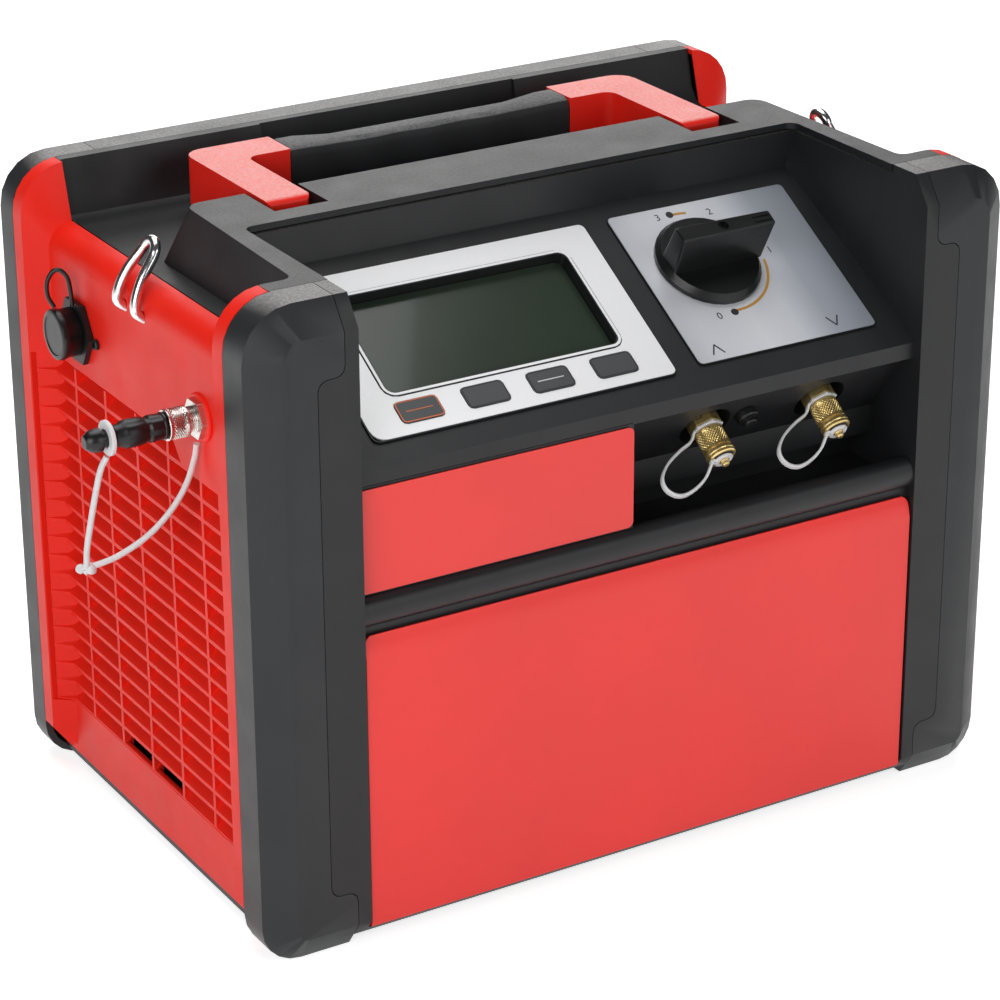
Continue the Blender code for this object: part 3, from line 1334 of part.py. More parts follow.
def eye_route(side):
    """The bent wire of a strap eye, a hairpin whose legs close in toward its loop"""
    foot, knee = eye_leg()
    top = Vector((SIDE - 0.0113, DECK + 0.0175))
    start = Vector((SIDE - 0.008, DECK + 0.0118))
    corners = [(foot, EYE_SPREAD), (knee, EYE_SPREAD), ((SIDE + 0.0018, DECK - 0.003), EYE_SPREAD - 0.0006),
               ((SIDE - 0.0022, DECK + 0.0045), EYE_SPREAD - 0.0018), (start, EYE_LOOP)]
    leg = bent([(side * place[0], EYE_Y - spread, place[1]) for place, spread in corners], 0.005, 3)
    loop = []
    for step in range(1, 6):
        angle = math.pi * step / 6
        place = start.lerp(top, math.sin(angle))
        loop.append(Vector((side * place.x, EYE_Y - EYE_LOOP * math.cos(angle), place.y)))
    back = [Vector((point.x, 2 * EYE_Y - point.y, point.z)) for point in reversed(leg)]
    return leg + loop + back


def eye_holes(side):
    """Clearance holes for the two legs of a strap eye"""
    holes = []
    foot, knee = [Vector((side * x, 0, z)) for x, z in eye_leg()]
    for spread in (-EYE_SPREAD, EYE_SPREAD):
        start = foot + Vector((0, EYE_Y + spread, 0))
        radius = EYE_WIRE + GAP
        reach = (knee - foot).length + 0.004
        holes.append(turned([(0, -0.002), (radius, -0.002), (radius, reach), (0, reach)],
                            toward(start, knee - foot), 16))
    return holes


def strap_eye(side):
    return pipe(eye_route(side), EYE_WIRE, 1)


def flange_connector():
    """The panel connector under the dust cap, with its six-sided flange"""
    place = toward((-SIDE, FLANGE_Y, FLANGE_Z), (-1, 0, 0))
    flange = turned([(0, GAP), (FLANGE_RADIUS, GAP), (FLANGE_RADIUS, FLANGE_THICKNESS),
                     (0, FLANGE_THICKNESS)], place, 6)
    inner = DUST_CAP_RADIUS - DUST_CAP_WALL - GAP
    barrel = turned([(0, -0.012), (0.0105, -0.012), (0.0105, FLANGE_THICKNESS - 0.0005),
                     (inner, FLANGE_THICKNESS - 0.0005),
                     (inner, FLANGE_THICKNESS + DUST_CAP_LENGTH - 0.003),
                     (0, FLANGE_THICKNESS + DUST_CAP_LENGTH - 0.003)], place, 20)
    bore = turned([(0, -0.002), (inner - 0.0016, -0.002), (inner - 0.0016, 0.03), (0, 0.03)], place, 20)
    return tidy(cut(fuse(flange, barrel), bore))


def dust_cap():
    """The moulded cap over the panel connector"""
    place = toward((-SIDE, FLANGE_Y, FLANGE_Z), (-1, 0, 0))
    low = FLANGE_THICKNESS + GAP
    high = FLANGE_THICKNESS + DUST_CAP_LENGTH
    inner = DUST_CAP_RADIUS - DUST_CAP_WALL
    profile = [(inner, low), (DUST_CAP_RADIUS - 0.0006, low), (DUST_CAP_RADIUS - 0.0006, high - 0.004),
               (DUST_CAP_RADIUS, high - 0.0036), (DUST_CAP_RADIUS, high - 0.001),
               (DUST_CAP_RADIUS - 0.001, high),
               (0, high), (0, high - 0.0022), (inner, high - 0.0022)]
    return turned(profile, place, 20, closed=True)


def dust_cap_strap():
    """The cap's rubber strap, a loop between the flange and the cap's rim"""
    x = -SIDE - FLANGE_THICKNESS
    rim = x - DUST_CAP_LENGTH
    top = FLANGE_Z + DUST_CAP_RADIUS
    points = [
        (x - 0.0016, FLANGE_Y - 0.0035, top + 0.0018), (x - 0.0022, FLANGE_Y - 0.004, top + 0.009),
        (x - 0.003, FLANGE_Y - 0.003, top + 0.0155), (x - 0.0055, FLANGE_Y - 0.001, top + 0.019),
        (rim + 0.002, FLANGE_Y + 0.0005, top + 0.0185), (rim - 0.001, FLANGE_Y + 0.001, top + 0.0135),
        (rim - 0.001, FLANGE_Y + 0.001, top + 0.007), (rim + 0.0014, FLANGE_Y, top + 0.0014),
    ]
    return pipe(points, 0.0011, 1)


def sensor_socket():
    """The threaded socket in the left side: seat, six-sided nut and barrel"""
    place = toward((-SIDE, SOCKET_Y, SOCKET_Z), (-1, 0, 0))
    seat = turned([(0, GAP), (SOCKET_RADIUS, GAP), (SOCKET_RADIUS, 0.0013), (0, 0.0013)], place, 16)
    nut = turned([(0, 0.001), (0.0095, 0.001), (0.0095, SOCKET_NUT), (0, SOCKET_NUT)], place, 6)
    tip = RING_START - 2 * GAP
    barrel = turned([(0, -0.011), (0.006, -0.011), (0.006, 0.002), (THREAD_RADIUS, 0.002),
                     (THREAD_RADIUS, tip), (SOCKET_BORE, tip),
                     (SOCKET_BORE, SOCKET_DEPTH), (0, SOCKET_DEPTH)], place, 16)
    return tidy(fuse(seat, nut, barrel))


def plug_ring():
    """The knurled coupling ring that holds the plug to the socket"""
    place = toward((-SIDE, SOCKET_Y, SOCKET_Z), (-1, 0, 0))
    end = RING_START + RING_LENGTH
    profile = [
        (THREAD_RADIUS + GAP, RING_START), (RING_RADIUS - 0.0004, RING_START),
        (RING_RADIUS, RING_START + 0.0006),
        (RING_RADIUS, end - 0.0006), (RING_RADIUS - 0.0004, end), (NECK_RADIUS + 0.0012, end),
        (NECK_RADIUS + 0.0012, THREAD_END + 0.0058), (THREAD_RADIUS + GAP, THREAD_END + 0.0058),
    ]
    return turned(profile, place, 20, closed=True)


def plug_body():
    """The plug's moulded body: nose in the socket, body, stepped neck and end knob"""
    place = toward((-SIDE, SOCKET_Y, SOCKET_Z), (-1, 0, 0))
    start = RING_START + RING_LENGTH + GAP
    body = start + PLUG_LENGTH
    neck = body + NECK_LENGTH
    tip = neck + KNOB_END_LENGTH
    nose = SOCKET_DEPTH + GAP
    profile = [
        (0, nose), (SOCKET_BORE - GAP, nose), (SOCKET_BORE - GAP, THREAD_END + 0.0061),
        (NECK_RADIUS + 0.0009, THREAD_END + 0.0061),
        (NECK_RADIUS + 0.0009, start),
        (PLUG_RADIUS - 0.0006, start), (PLUG_RADIUS - 0.0005, start + 0.0075),
        (PLUG_RADIUS - 0.0012, start + 0.0085),
        (PLUG_RADIUS - 0.0008, start + 0.0105), (PLUG_RADIUS, body - 0.003), (PLUG_RADIUS - 0.0012, body),
        (NECK_RADIUS, body), (NECK_RADIUS, neck), (KNOB_END_RADIUS, neck), (KNOB_END_RADIUS, tip - 0.003),
        (KNOB_END_RADIUS - 0.0025, tip), (0, tip),
    ]
    return turned(profile, place, 16)


def plug_tether():
    """The nylon cord from the plug's neck down to the ball and back to the shell"""
    x = -SIDE - RING_START - RING_LENGTH - GAP - PLUG_LENGTH
    ring_x = x - 0.0037
    points = [
        (ring_x, SOCKET_Y, SOCKET_Z - TETHER_RING_RADIUS - 2 * GAP),
        (ring_x + 0.001, SOCKET_Y + 0.001, SOCKET_Z - 0.0184),
        (ring_x - 0.002, SOCKET_Y + 0.003, SOCKET_Z - 0.0354),
        (ring_x + 0.0009, SOCKET_Y + 0.005, SOCKET_Z - 0.0514),
        (ring_x + 0.0022, SOCKET_Y + 0.006, SOCKET_Z - 0.0572),
        (-SIDE - 0.0435, SOCKET_Y + 0.006, SOCKET_Z - 0.0572),
        (-SIDE - 0.032, SOCKET_Y + 0.005, SOCKET_Z - 0.0529),
        (-SIDE - 0.0205, SOCKET_Y + 0.003, SOCKET_Z - 0.0469),
        (-SIDE - 0.0125, SOCKET_Y + 0.001, SOCKET_Z - 0.0389),
        (-SIDE - 0.0072, SOCKET_Y, SOCKET_Z - 0.0289), (-SIDE - 0.0042, SOCKET_Y, SOCKET_Z - 0.0184),
        (-SIDE - 0.0025, SOCKET_Y, SOCKET_Z - 0.0118),
    ]
    return pipe(points, TETHER_RADIUS, 1)


def tether_ring():
    """The tether's ring around the plug's neck"""
    place = toward((-SIDE, SOCKET_Y, SOCKET_Z), (-1, 0, 0))
    low = RING_START + RING_LENGTH + 2 * GAP + PLUG_LENGTH + 0.0015
    return strap_ring(NECK_RADIUS + GAP, TETHER_RING_RADIUS, low, low + 0.0022, place)


def base_tray():
    """The pressed floor of the case with its turned-up sides"""
    half = SIDE - WALL - GAP
    plate = box((-SIDE + 0.0005, SHELL_FRONT + GAP, SHELL_FOOT_HEIGHT - GAP - TRAY_THICKNESS),
                (SIDE - 0.0005, SHELL_REAR - GAP, SHELL_FOOT_HEIGHT - GAP))
    rims = [
        box((-half, SHELL_FRONT + GAP, SHELL_FOOT_HEIGHT - 0.001),
            (-half + 0.002, SHELL_REAR - GAP, 0.022)),
        box((half - 0.002, SHELL_FRONT + GAP, SHELL_FOOT_HEIGHT - 0.001), (half, SHELL_REAR - GAP, 0.022)),
    ]
    return fuse(plate, *rims)


def rear_frame():
    """The moulded rear frame between the rear guards, open to the inside"""
    body = end_slab(0, False, REAR_GUARD_DEPTH)
    body = keep(body, prism(frame_region(GAP), "Y", DEPTH - 0.05, DEPTH + 0.01))
    body = cut(body, box((-HALF, DEPTH - 0.05, -0.01), (HALF, DEPTH + 0.01, FRAME_FOOT)))
    hollow = end_slab(GUARD_WALL, False, REAR_GUARD_DEPTH)
    hollow = keep(hollow, prism(frame_region(GAP + GUARD_WALL), "Y", DEPTH - 0.05, DEPTH + 0.01))
    hollow = cut(hollow, box((-HALF, DEPTH - 0.05, -0.01), (HALF, DEPTH + 0.01, FRAME_FOOT + WALL)))
    hollow = cut(hollow, box((-OPENING - WALL, DEPTH - REAR_RECESS - GUARD_WALL, 0),
                             (OPENING + WALL, DEPTH + 0.01, DECK + WALL)))
    body = cut(body, hollow)
    recess = box((-OPENING, DEPTH - REAR_RECESS, FRAME_FOOT + 2 * WALL), (OPENING, DEPTH + 0.01, DECK))
    holes = [rear_box(inlet_size(GAP), DEPTH - 0.04, DEPTH),
             rear_box(switch_size(GAP), DEPTH - 0.04, DEPTH)]
    return tidy(cut(body, recess, *holes))


def inlet_size(spare):
    return (INLET_X, INLET_WIDTH / 2 + spare, INLET_HEIGHT / 2 + spare)


def switch_size(spare):
    return (SWITCH_X, SWITCH_WIDTH / 2 + spare, SWITCH_HEIGHT / 2 + spare)


def rear_box(size, low, high):
    x, wide, tall = size
    return box((x - wide, low, INLET_Z - tall), (x + wide, high, INLET_Z + tall))


def rear_panel():
    """The red sheet in the rear frame, cut for the power inlet and the switch"""
    low = (-OPENING + PANEL_SIDE_GAP, FRAME_FOOT + 2 * WALL + PANEL_SIDE_GAP)
    high = (OPENING - PANEL_SIDE_GAP, DECK - PANEL_SIDE_GAP)
    face = DEPTH - REAR_RECESS + GAP
    plate = prism(rounded(rectangle(low, high), PANEL_CORNER), "Y", face, face + PANEL_SHEET)
    holes = [rear_box(inlet_size(GAP), DEPTH - 0.04, DEPTH),
             rear_box(switch_size(GAP), DEPTH - 0.04, DEPTH)]
    return cut(plate, *holes)


def power_inlet():
    """A three-pin power inlet let into the rear panel"""
    face = DEPTH - REAR_RECESS + 2 * GAP + PANEL_SHEET
    body = rear_box(inlet_size(0), face - 0.024, face)
    flange = rear_box(inlet_size(0.0022), face, face + 0.0018)
    body = cut(fuse(body, flange), rear_box(inlet_size(-0.002), face - INLET_SINK, face + 0.01))
    pins = [
        box((INLET_X + shift - 0.001, face - INLET_SINK - 0.001, INLET_Z + rise - 0.002),
            (INLET_X + shift + 0.001, face - 0.003, INLET_Z + rise + 0.002))
        for shift, rise in ((-0.007, -0.002), (0, 0.002), (0.007, -0.002))
    ]
    return tidy(fuse(body, *pins))


def switch_housing():
    face = DEPTH - REAR_RECESS + 2 * GAP + PANEL_SHEET
    body = rear_box(switch_size(0), face - 0.016, face)
    flange = rear_box(switch_size(0.002), face, face + 0.0015)
    return tidy(cut(fuse(body, flange), rear_box(switch_size(-0.0012), face - 0.009, face + 0.01)))


def rocker_axis():
    return (SWITCH_X, DEPTH - REAR_RECESS + 2 * GAP + PANEL_SHEET - 0.003, INLET_Z)


def rocker_switch():
    """The rocker of the mains switch, a shallow V that tilts about its upright axis"""
    x, y, z = rocker_axis()
    half = SWITCH_WIDTH / 2 - 0.0012 - 3 * GAP
    tall = SWITCH_HEIGHT / 2 - 0.0012 - GAP
    outline = [(x - half, y + 0.0055), (x, y + 0.004), (x + half, y + 0.0055),
               (x + half - 0.0008, y + 0.0005),
               (x + 0.0025, y - 0.0045), (x - 0.0025, y - 0.0045), (x - half + 0.0008, y + 0.0005)]
    return prism(outline, "Z", z - tall, z + tall)


def fan_rotor():
    """A five-bladed fan on the end of the compressor motor's shaft"""
    hub = turned([(0, -FAN_WIDTH / 2), (0.016, -FAN_WIDTH / 2), (0.018, -FAN_WIDTH / 2 + 0.002),
                  (0.018, FAN_WIDTH / 2),
                  (0, FAN_WIDTH / 2)], Matrix.Identity(4), 16)
    blades = []
    for index in range(FAN_BLADES):
        rings = []
        for radius, twist, chord in ((0.015, 50, 0.011), (0.04, 34, 0.016),
                                     (FAN_RADIUS - 0.003, 24, 0.018)):
            angle = math.radians(twist)
            along = Vector((0, math.cos(angle), math.sin(angle)))
            thick = Vector((0, -math.sin(angle), math.cos(angle))) * 0.0008
            base = Vector((radius, 0, 0))
            half_chord = min(chord, FAN_WIDTH / 2 / math.sin(angle) - 0.001)
            rings.append([base - along * half_chord - thick, base + along * half_chord - thick,
                          base + along * half_chord + thick, base - along * half_chord + thick])
        blade = loft(rings)
        blade.data.transform(Matrix.Rotation(2 * math.pi * index / FAN_BLADES, 4, "Z"))
        blades.append(blade)
    rotor = fuse(hub, *blades)
    bore = turned([(0, -0.03), (0.003 + GAP, -0.03), (0.003 + GAP, 0.006), (0, 0.006)], Matrix.Identity(4),
                  12)
    rotor = cut(rotor, bore)
    rotor.data.transform(toward((FAN_X, FAN_Y, FAN_Z), (-1, 0, 0)))
    return tidy(rotor)


def fan_shroud():
    """The ring and its square plate that stand on the tray around the fan"""
    x = FAN_X
    reach = FAN_RADIUS + 0.012
    floor = SHELL_FOOT_HEIGHT
    plate = box((x + 0.004, FAN_Y - reach, floor), (x + 0.004 + SHROUD_WALL, FAN_Y + reach, FAN_Z + reach))
    place = toward((x, FAN_Y, FAN_Z), (-1, 0, 0))
    ring = turned([(0, -0.007), (FAN_RADIUS + 0.004, -0.007), (FAN_RADIUS + 0.004, 0.009), (0, 0.009)],
                  place, 28)
    hole = turned([(0, -0.02), (FAN_RADIUS + 0.001, -0.02), (FAN_RADIUS + 0.001, 0.02), (0, 0.02)], place,
                  28)
    return tidy(cut(fuse(plate, ring), hole))


def condenser():
    """The coil block behind the fan: end plates, tubes as bars and a stack of fins"""
    low_x = FAN_X + 0.004 + SHROUD_WALL + GAP + 0.008
    reach = FAN_RADIUS + 0.006
    floor = SHELL_FOOT_HEIGHT
    frame = box((low_x, FAN_Y - reach, floor), (low_x + CONDENSER_WIDTH, FAN_Y + reach, FAN_Z + reach))
    hole = box((low_x - 0.01, FAN_Y - reach + 0.003, floor + 0.012),
               (low_x + CONDENSER_WIDTH + 0.01, FAN_Y + reach - 0.003, FAN_Z + reach - 0.003))
    frame = cut(frame, hole)
    fins = []
    count = CONDENSER_FINS
    for index in range(count):
        y = FAN_Y - reach + 2 * reach * (index + 1) / (count + 1)
        fins.append(box((low_x + 0.001, y - 0.0006, floor + 0.008),
                        (low_x + CONDENSER_WIDTH - 0.001, y + 0.0006, FAN_Z + reach - 0.001)))
    tunnel = turned([(0, -0.1), (0.021, -0.1), (0.021, 0.1), (0, 0.1)],
                    toward((low_x, FAN_Y, FAN_Z), (1, 0, 0)), 16)
    return tidy(cut(fuse(frame, *fins), tunnel))


def motor_start():
    return FAN_X + 0.004 + SHROUD_WALL + GAP + 0.008 + CONDENSER_WIDTH + 0.012


def compressor_motor():
    """The compressor's motor with the shaft that carries the fan"""
    start = motor_start()
    place = toward((start, FAN_Y, FAN_Z), (1, 0, 0))
    reach = start - FAN_X
    profile = [
        (0, -reach - 0.005), (0.003, -reach - 0.005), (0.003, -0.012), (0.014, -0.012), (0.016, 0),
        (MOTOR_RADIUS - 0.006, 0),
        (MOTOR_RADIUS, 0.008), (MOTOR_RADIUS, MOTOR_LENGTH - 0.004), (MOTOR_RADIUS - 0.004, MOTOR_LENGTH),
        (0, MOTOR_LENGTH),
    ]
    body = turned(profile, place, 20)
    foot = box((start + 0.02, FAN_Y - 0.03, SHELL_FOOT_HEIGHT),
               (start + MOTOR_LENGTH - 0.02, FAN_Y + 0.03, FAN_Z - 0.02))
    hollow = box((start + 0.028, FAN_Y - 0.04, SHELL_FOOT_HEIGHT + 0.004),
                 (start + MOTOR_LENGTH - 0.028, FAN_Y + 0.04, FAN_Z - MOTOR_RADIUS - 0.004))
    return tidy(fuse(body, cut(foot, hollow)))


def compressor_pump():
    """The crankcase with its two finned cylinders"""
    start = motor_start() + MOTOR_LENGTH + GAP
    end = start + CRANKCASE_WIDTH
    case = prism(rounded(rectangle((FAN_Y - 0.038, SHELL_FOOT_HEIGHT), (FAN_Y + 0.038, FAN_Z + 0.036)),
                         0.006, 3),
                 "X", start, end)
    middle = (start + end) / 2
    reach = FAN_RADIUS + CYLINDER_REACH
    cylinders = []
    for side in (-1, 1):
        profile = [(0, reach - 0.05), (0.021, reach - 0.05)]
        for index in range(4):
            low = reach - 0.038 + 0.008 * index
            profile += [(0.021, low - 0.0015), (0.027, low - 0.0015), (0.027, low + 0.0015),
                        (0.021, low + 0.0015)]
        profile += [(0.021, reach - 0.008), (0.024, reach - 0.008), (0.024, reach), (0, reach)]
        cylinders.append(turned(profile, toward((middle, FAN_Y, FAN_Z), (0, side * 0.9, 0.5)), 12))
    return tidy(fuse(case, *cylinders))


def control_board():
    """The control board on its bracket, upright behind the port bay"""
    y = BAY_DEPTH + 2 * WALL + 0.004
    return box((-OPENING + 0.02, y, SHELL_FOOT_HEIGHT), (-OPENING + 0.1, y + 0.0016, LIP_BOTTOM - 0.02))


def filter_drier():
    """The filter canister that stands on the tray behind the front panel"""
    place = toward((OPENING - 0.04, BAY_DEPTH + 0.016, SHELL_FOOT_HEIGHT), (0, 0, 1))
    return turned([(0, 0), (0.012, 0), (0.0125, 0.004), (0.0125, 0.078), (0.009, 0.086), (0.005, 0.09),
                   (0.005, 0.096),
                   (0, 0.096)], place, 20)


def main():
    clear_scene()
    root = bpy.data.objects.new("machine_root", None)
    bpy.context.collection.objects.link(root)
    root.location = SHIFT
    for side, name in ((-1, "left"), (1, "right")):
        place_part(corner_guard(side, True), f"front_guard_{name}", GUARD_GREY, root)
        place_part(corner_guard(side, False), f"rear_guard_{name}", GUARD_GREY, root)
        place_part(side_shell(side), f"side_shell_{name}", CASE_RED, root)
        place_part(strap_eye(side), f"strap_eye_{name}", STEEL, root)
        place_part(pivot_pin(side), f"handle_pin_{name}", STEEL, root)
    place_part(front_frame(), "front_frame", BLACK_PLASTIC, root)
    place_part(front_panel(), "front_panel", SHEET_RED, root)
    place_part(label_plate(), "label_plate", SHEET_RED, root)
    place_part(rear_frame(), "rear_frame", BLACK_PLASTIC, root)
    place_part(rear_panel(), "rear_panel", SHEET_RED, root)
    place_part(power_inlet(), "power_inlet", BLACK_PLASTIC, root)
    place_part(switch_housing(), "switch_housing", BLACK_PLASTIC, root)
    place_part(rocker_switch(), "rocker_switch", BLACK_PLASTIC, root, rocker_axis())
    place_part(top_cover(), "top_cover", BLACK_PLASTIC, root)
    place_part(base_tray(), "base_tray", BLACK_PLASTIC, root)
    place_part(display_fascia(), "display_fascia", SILVER, root)
    place_part(display_bezel(), "display_bezel", BLACK_PLASTIC, root)
    place_part(display_glass(), "display_glass", LCD_GREEN, root)
    for index, spot in enumerate(key_places()):
        origin = panel_place() @ Vector((spot[0], spot[1], FASCIA_TOP))
        place_part(key(spot), f"key_{index + 1}", KEY_GREY, root, origin)
    place_part(key_board(), "key_board", BOARD_GREEN, root)
    place_part(selector_plate(), "selector_plate", SILVER, root)
    knob_origin = panel_place() @ Vector((KNOB_X, KNOB_V, 0))
    place_part(selector_knob(), "selector_knob", BLACK_PLASTIC, root, knob_origin)
    place_part(valve_stem(), "valve_stem", STEEL, root, knob_origin)
    place_part(valve_block(), "valve_block", BRASS, root)
    for x, name in zip(port_places(), ("inlet", "outlet")):
        place_part(service_port(x), f"{name}_port", BRASS, root)
        place_part(port_cap(x), f"{name}_cap", BRASS, root, port_point(x, cap_start()))
        place_part(cap_strap(x), f"{name}_cap_strap", WHITE_NYLON, root)
        place_part(cap_ring(x), f"{name}_cap_ring", WHITE_NYLON, root, port_point(x, cap_start()))
    place_part(reset_breaker(), "reset_breaker", BLACK_PLASTIC, root)
    place_part(reset_collar(), "reset_collar", BLACK_PLASTIC, root)
    place_part(reset_button(), "reset_button", BLACK_PLASTIC, root, reset_place().translation)
    pivot = (0, PIVOT_Y, PIVOT_Z)
    place_part(handle_frame(), "handle_frame", CASE_RED, root, pivot)
    place_part(handle_grip(), "handle_grip", RUBBER, root, pivot)
    place_part(flange_connector(), "flange_connector", BLACK_PLASTIC, root)
    flange_middle = (-SIDE, FLANGE_Y, FLANGE_Z)
    place_part(dust_cap(), "dust_cap", RUBBER, root, flange_middle)
    place_part(dust_cap_strap(), "dust_cap_strap", RUBBER, root)
    place_part(sensor_socket(), "sensor_socket", STEEL, root)
    socket_middle = (-SIDE, SOCKET_Y, SOCKET_Z)
    place_part(plug_ring(), "plug_ring", STEEL, root, socket_middle)
    place_part(plug_body(), "plug_body", BLACK_PLASTIC, root, socket_middle)
    place_part(tether_ring(), "tether_ring", WHITE_NYLON, root, socket_middle)
    place_part(plug_tether(), "plug_tether", WHITE_NYLON, root)
    place_part(fan_rotor(), "fan_rotor", BLACK_PLASTIC, root, (FAN_X, FAN_Y, FAN_Z))
    place_part(fan_shroud(), "fan_shroud", BLACK_PLASTIC, root)
    place_part(condenser(), "condenser", CAST_ALUMINIUM, root)
    place_part(compressor_motor(), "compressor_motor", CAST_ALUMINIUM, root)
    place_part(compressor_pump(), "compressor_pump", CAST_ALUMINIUM, root)
    place_part(control_board(), "control_board", BOARD_GREEN, root)
    place_part(filter_drier(), "filter_drier", COPPER, root)


main()
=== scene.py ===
import math

import bmesh
import bpy
from mathutils import Matrix, Vector


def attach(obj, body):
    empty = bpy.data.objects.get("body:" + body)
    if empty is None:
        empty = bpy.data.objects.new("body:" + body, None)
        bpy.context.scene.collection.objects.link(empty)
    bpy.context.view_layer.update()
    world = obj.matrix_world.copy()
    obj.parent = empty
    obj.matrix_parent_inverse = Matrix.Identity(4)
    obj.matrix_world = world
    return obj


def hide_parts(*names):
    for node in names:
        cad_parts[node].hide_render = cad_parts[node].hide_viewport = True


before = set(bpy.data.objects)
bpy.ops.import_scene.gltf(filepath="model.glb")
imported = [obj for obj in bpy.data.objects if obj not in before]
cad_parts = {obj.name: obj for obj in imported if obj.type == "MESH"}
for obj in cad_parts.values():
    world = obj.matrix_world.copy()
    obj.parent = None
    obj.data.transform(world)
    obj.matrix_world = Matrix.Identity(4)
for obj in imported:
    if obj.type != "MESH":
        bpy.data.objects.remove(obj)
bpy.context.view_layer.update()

# Case coordinates, as in the part's source: x from the middle, y back from the front, z up
HALF = 0.2
DEPTH = 0.2682
SIDE = 0.19
DECK = 0.286
GAP = 0.0003
PLUG_TIP = SIDE + 0.0075 + 0.0102 + 0.0238 + 0.0065 + 0.0075 + GAP
SHIFT = Vector(((PLUG_TIP - HALF) / 2, -DEPTH / 2, 0))

# The sloped panel and what lies on it
LIP_Y = 0.005
LIP_TOP = 0.2316
LIP_BOTTOM = LIP_TOP - 0.0078
PANEL_TILT = math.radians(30.2)
FASCIA_TOP = 0.0011
FASCIA_LEFT = -0.134
FASCIA_RIGHT = 0.0226
FASCIA_FOOT = 0.0128
FASCIA_HEIGHT = 0.094
WINDOW = (-0.1158, 0.0361, 0.0044, 0.0926)
PLATE = (0.0361, 0.0143, 0.1357, 0.1068)
KNOB_X = 0.0714
KNOB_V = 0.0695
KNOB_HEIGHT = 0.027
KEY_WIDTH = 0.0215
KEY_HEIGHT = 0.012
KEY_PITCH = 0.0337
KEY_UP = 0.0246
KEY_TOP = FASCIA_TOP + 0.0005

# The service ports
PORTS = {"inlet": 0.045, "outlet": 0.11}
PORT_ANGLE = math.radians(36)
PORT_FACE_Y = 0.0111
PORT_DOWN_FACE = 0.0239
NOSE_RADIUS = 0.0051
CAP_START = 0.003
CAP_LENGTH = 0.0151
CAP_RADIUS = 0.007
CAP_BAND = 0.0048
CAP_KNURL_DEPTH = 0.00055
RIM_RADIUS = 0.0072
STUD_RADIUS = 0.0022
STRAP_THICKNESS = 0.0014
STRAP_LOOP = [
    (-0.0105, 0.0215, 0.1999), (-0.0183, 0.019, 0.1979), (-0.0275, 0.0147, 0.1951),
    (-0.0334, 0.0102, 0.1914),
    (-0.0338, 0.0072, 0.1874), (-0.0301, 0.0056, 0.1839), (-0.0245, 0.0053, 0.1824),
    (-0.0175, 0.0061, 0.1839),
    (-0.0112, 0.0075, 0.1875),
]

# The connectors on the left side
SOCKET_Y = 0.071
SOCKET_Z = 0.2434
THREAD_RADIUS = 0.0061
THREAD_START = 0.0038
THREAD_PITCH = 0.0009
THREAD_DEPTH = 0.0005
RING_START = 0.0075
RING_LENGTH = 0.0102
RING_RADIUS = 0.0071
RING_BORE = 0.0062
RING_KNURL_DEPTH = 0.0008
PLUG_LENGTH = 0.0238
NECK_LENGTH = 0.0065
KNOB_END_LENGTH = 0.0075
TETHER_RADIUS = 0.0014
FLANGE_Y = 0.197
FLANGE_Z = 0.2437
FLANGE_THICKNESS = 0.003
DUST_CAP_RADIUS = 0.0122
DUST_CAP_LENGTH = 0.0105
DUST_STRAP_RADIUS = 0.0011
SCREW_Y = 0.1775
SCREW_Z = 0.2428
EYE_Y = 0.1359
EYE_LOOP = 0.006
EYE_WIRE = 0.0024
EYE_FOOT = DECK - 0.009
RIGHT_EYE_LEAN = 0.3

# An edge is rounded where its faces turn by more than this
EDGE_ANGLE = math.radians(36)
WELD_DISTANCE = 0.000002

# The floor, the world and the softboxes as (name, place, aim, size, power)
FLOOR_SIZE = 30
FLOOR_DROP = 0.0002
FLOOR_TONE = 0.86
FLOOR_GLOW = 0.7
WORLD_LIGHT = 0.72
SOFTBOXES = [
    ("softbox_top", (0.1, 0.5, 1.7), (0, 0, 0.2), 1.4, 20),
    ("softbox_left", (-1.5, -1.0, 0.85), (0, 0, 0.15), 1.2, 18),
    ("softbox_back", (1.35, 2.6, 1.2), (0, 0, 0.3), 1.8, 24),
    ("softbox_front", (0.6, -1.9, 0.9), (0, 0, 0.15), 1.2, 12),
]

# The camera, solved from the photograph's straight edges
CAMERA_PLACE = Vector((-0.75736, -1.29834, 0.7974))
CAMERA_AZIMUTH = math.radians(-30.994)
CAMERA_ELEVATION = math.radians(23.55)
CAMERA_ROLL = math.radians(-0.2895)
SENSOR = 36.0
FOCAL = 121.55


def place_camera():
    ahead = Vector((-math.sin(CAMERA_AZIMUTH) * math.cos(CAMERA_ELEVATION),
                    math.cos(CAMERA_AZIMUTH) * math.cos(CAMERA_ELEVATION), -math.sin(CAMERA_ELEVATION)))
    right = Vector((math.cos(CAMERA_AZIMUTH), math.sin(CAMERA_AZIMUTH), 0))
    up = right.cross(ahead)
    rolled_right = right * math.cos(CAMERA_ROLL) + up * math.sin(CAMERA_ROLL)
    rolled_up = up * math.cos(CAMERA_ROLL) - right * math.sin(CAMERA_ROLL)
    turn = Matrix((rolled_right, rolled_up, -ahead)).transposed().to_4x4()
    data = bpy.data.cameras.new("photo_camera")
    data.sensor_width = SENSOR
    data.lens = FOCAL
    camera = bpy.data.objects.new("photo_camera", data)
    camera.matrix_world = Matrix.Translation(CAMERA_PLACE) @ turn
    bpy.context.scene.collection.objects.link(camera)
    bpy.context.scene.camera = camera


def case(x, y, z):
    return Vector((x, y, z)) + SHIFT


def on_panel():
    """Places x across, y up the slope and z off the sloped panel's face"""
    return Matrix.Translation(case(0, LIP_Y, LIP_TOP)) @ Matrix.Rotation(PANEL_TILT, 4, "X")


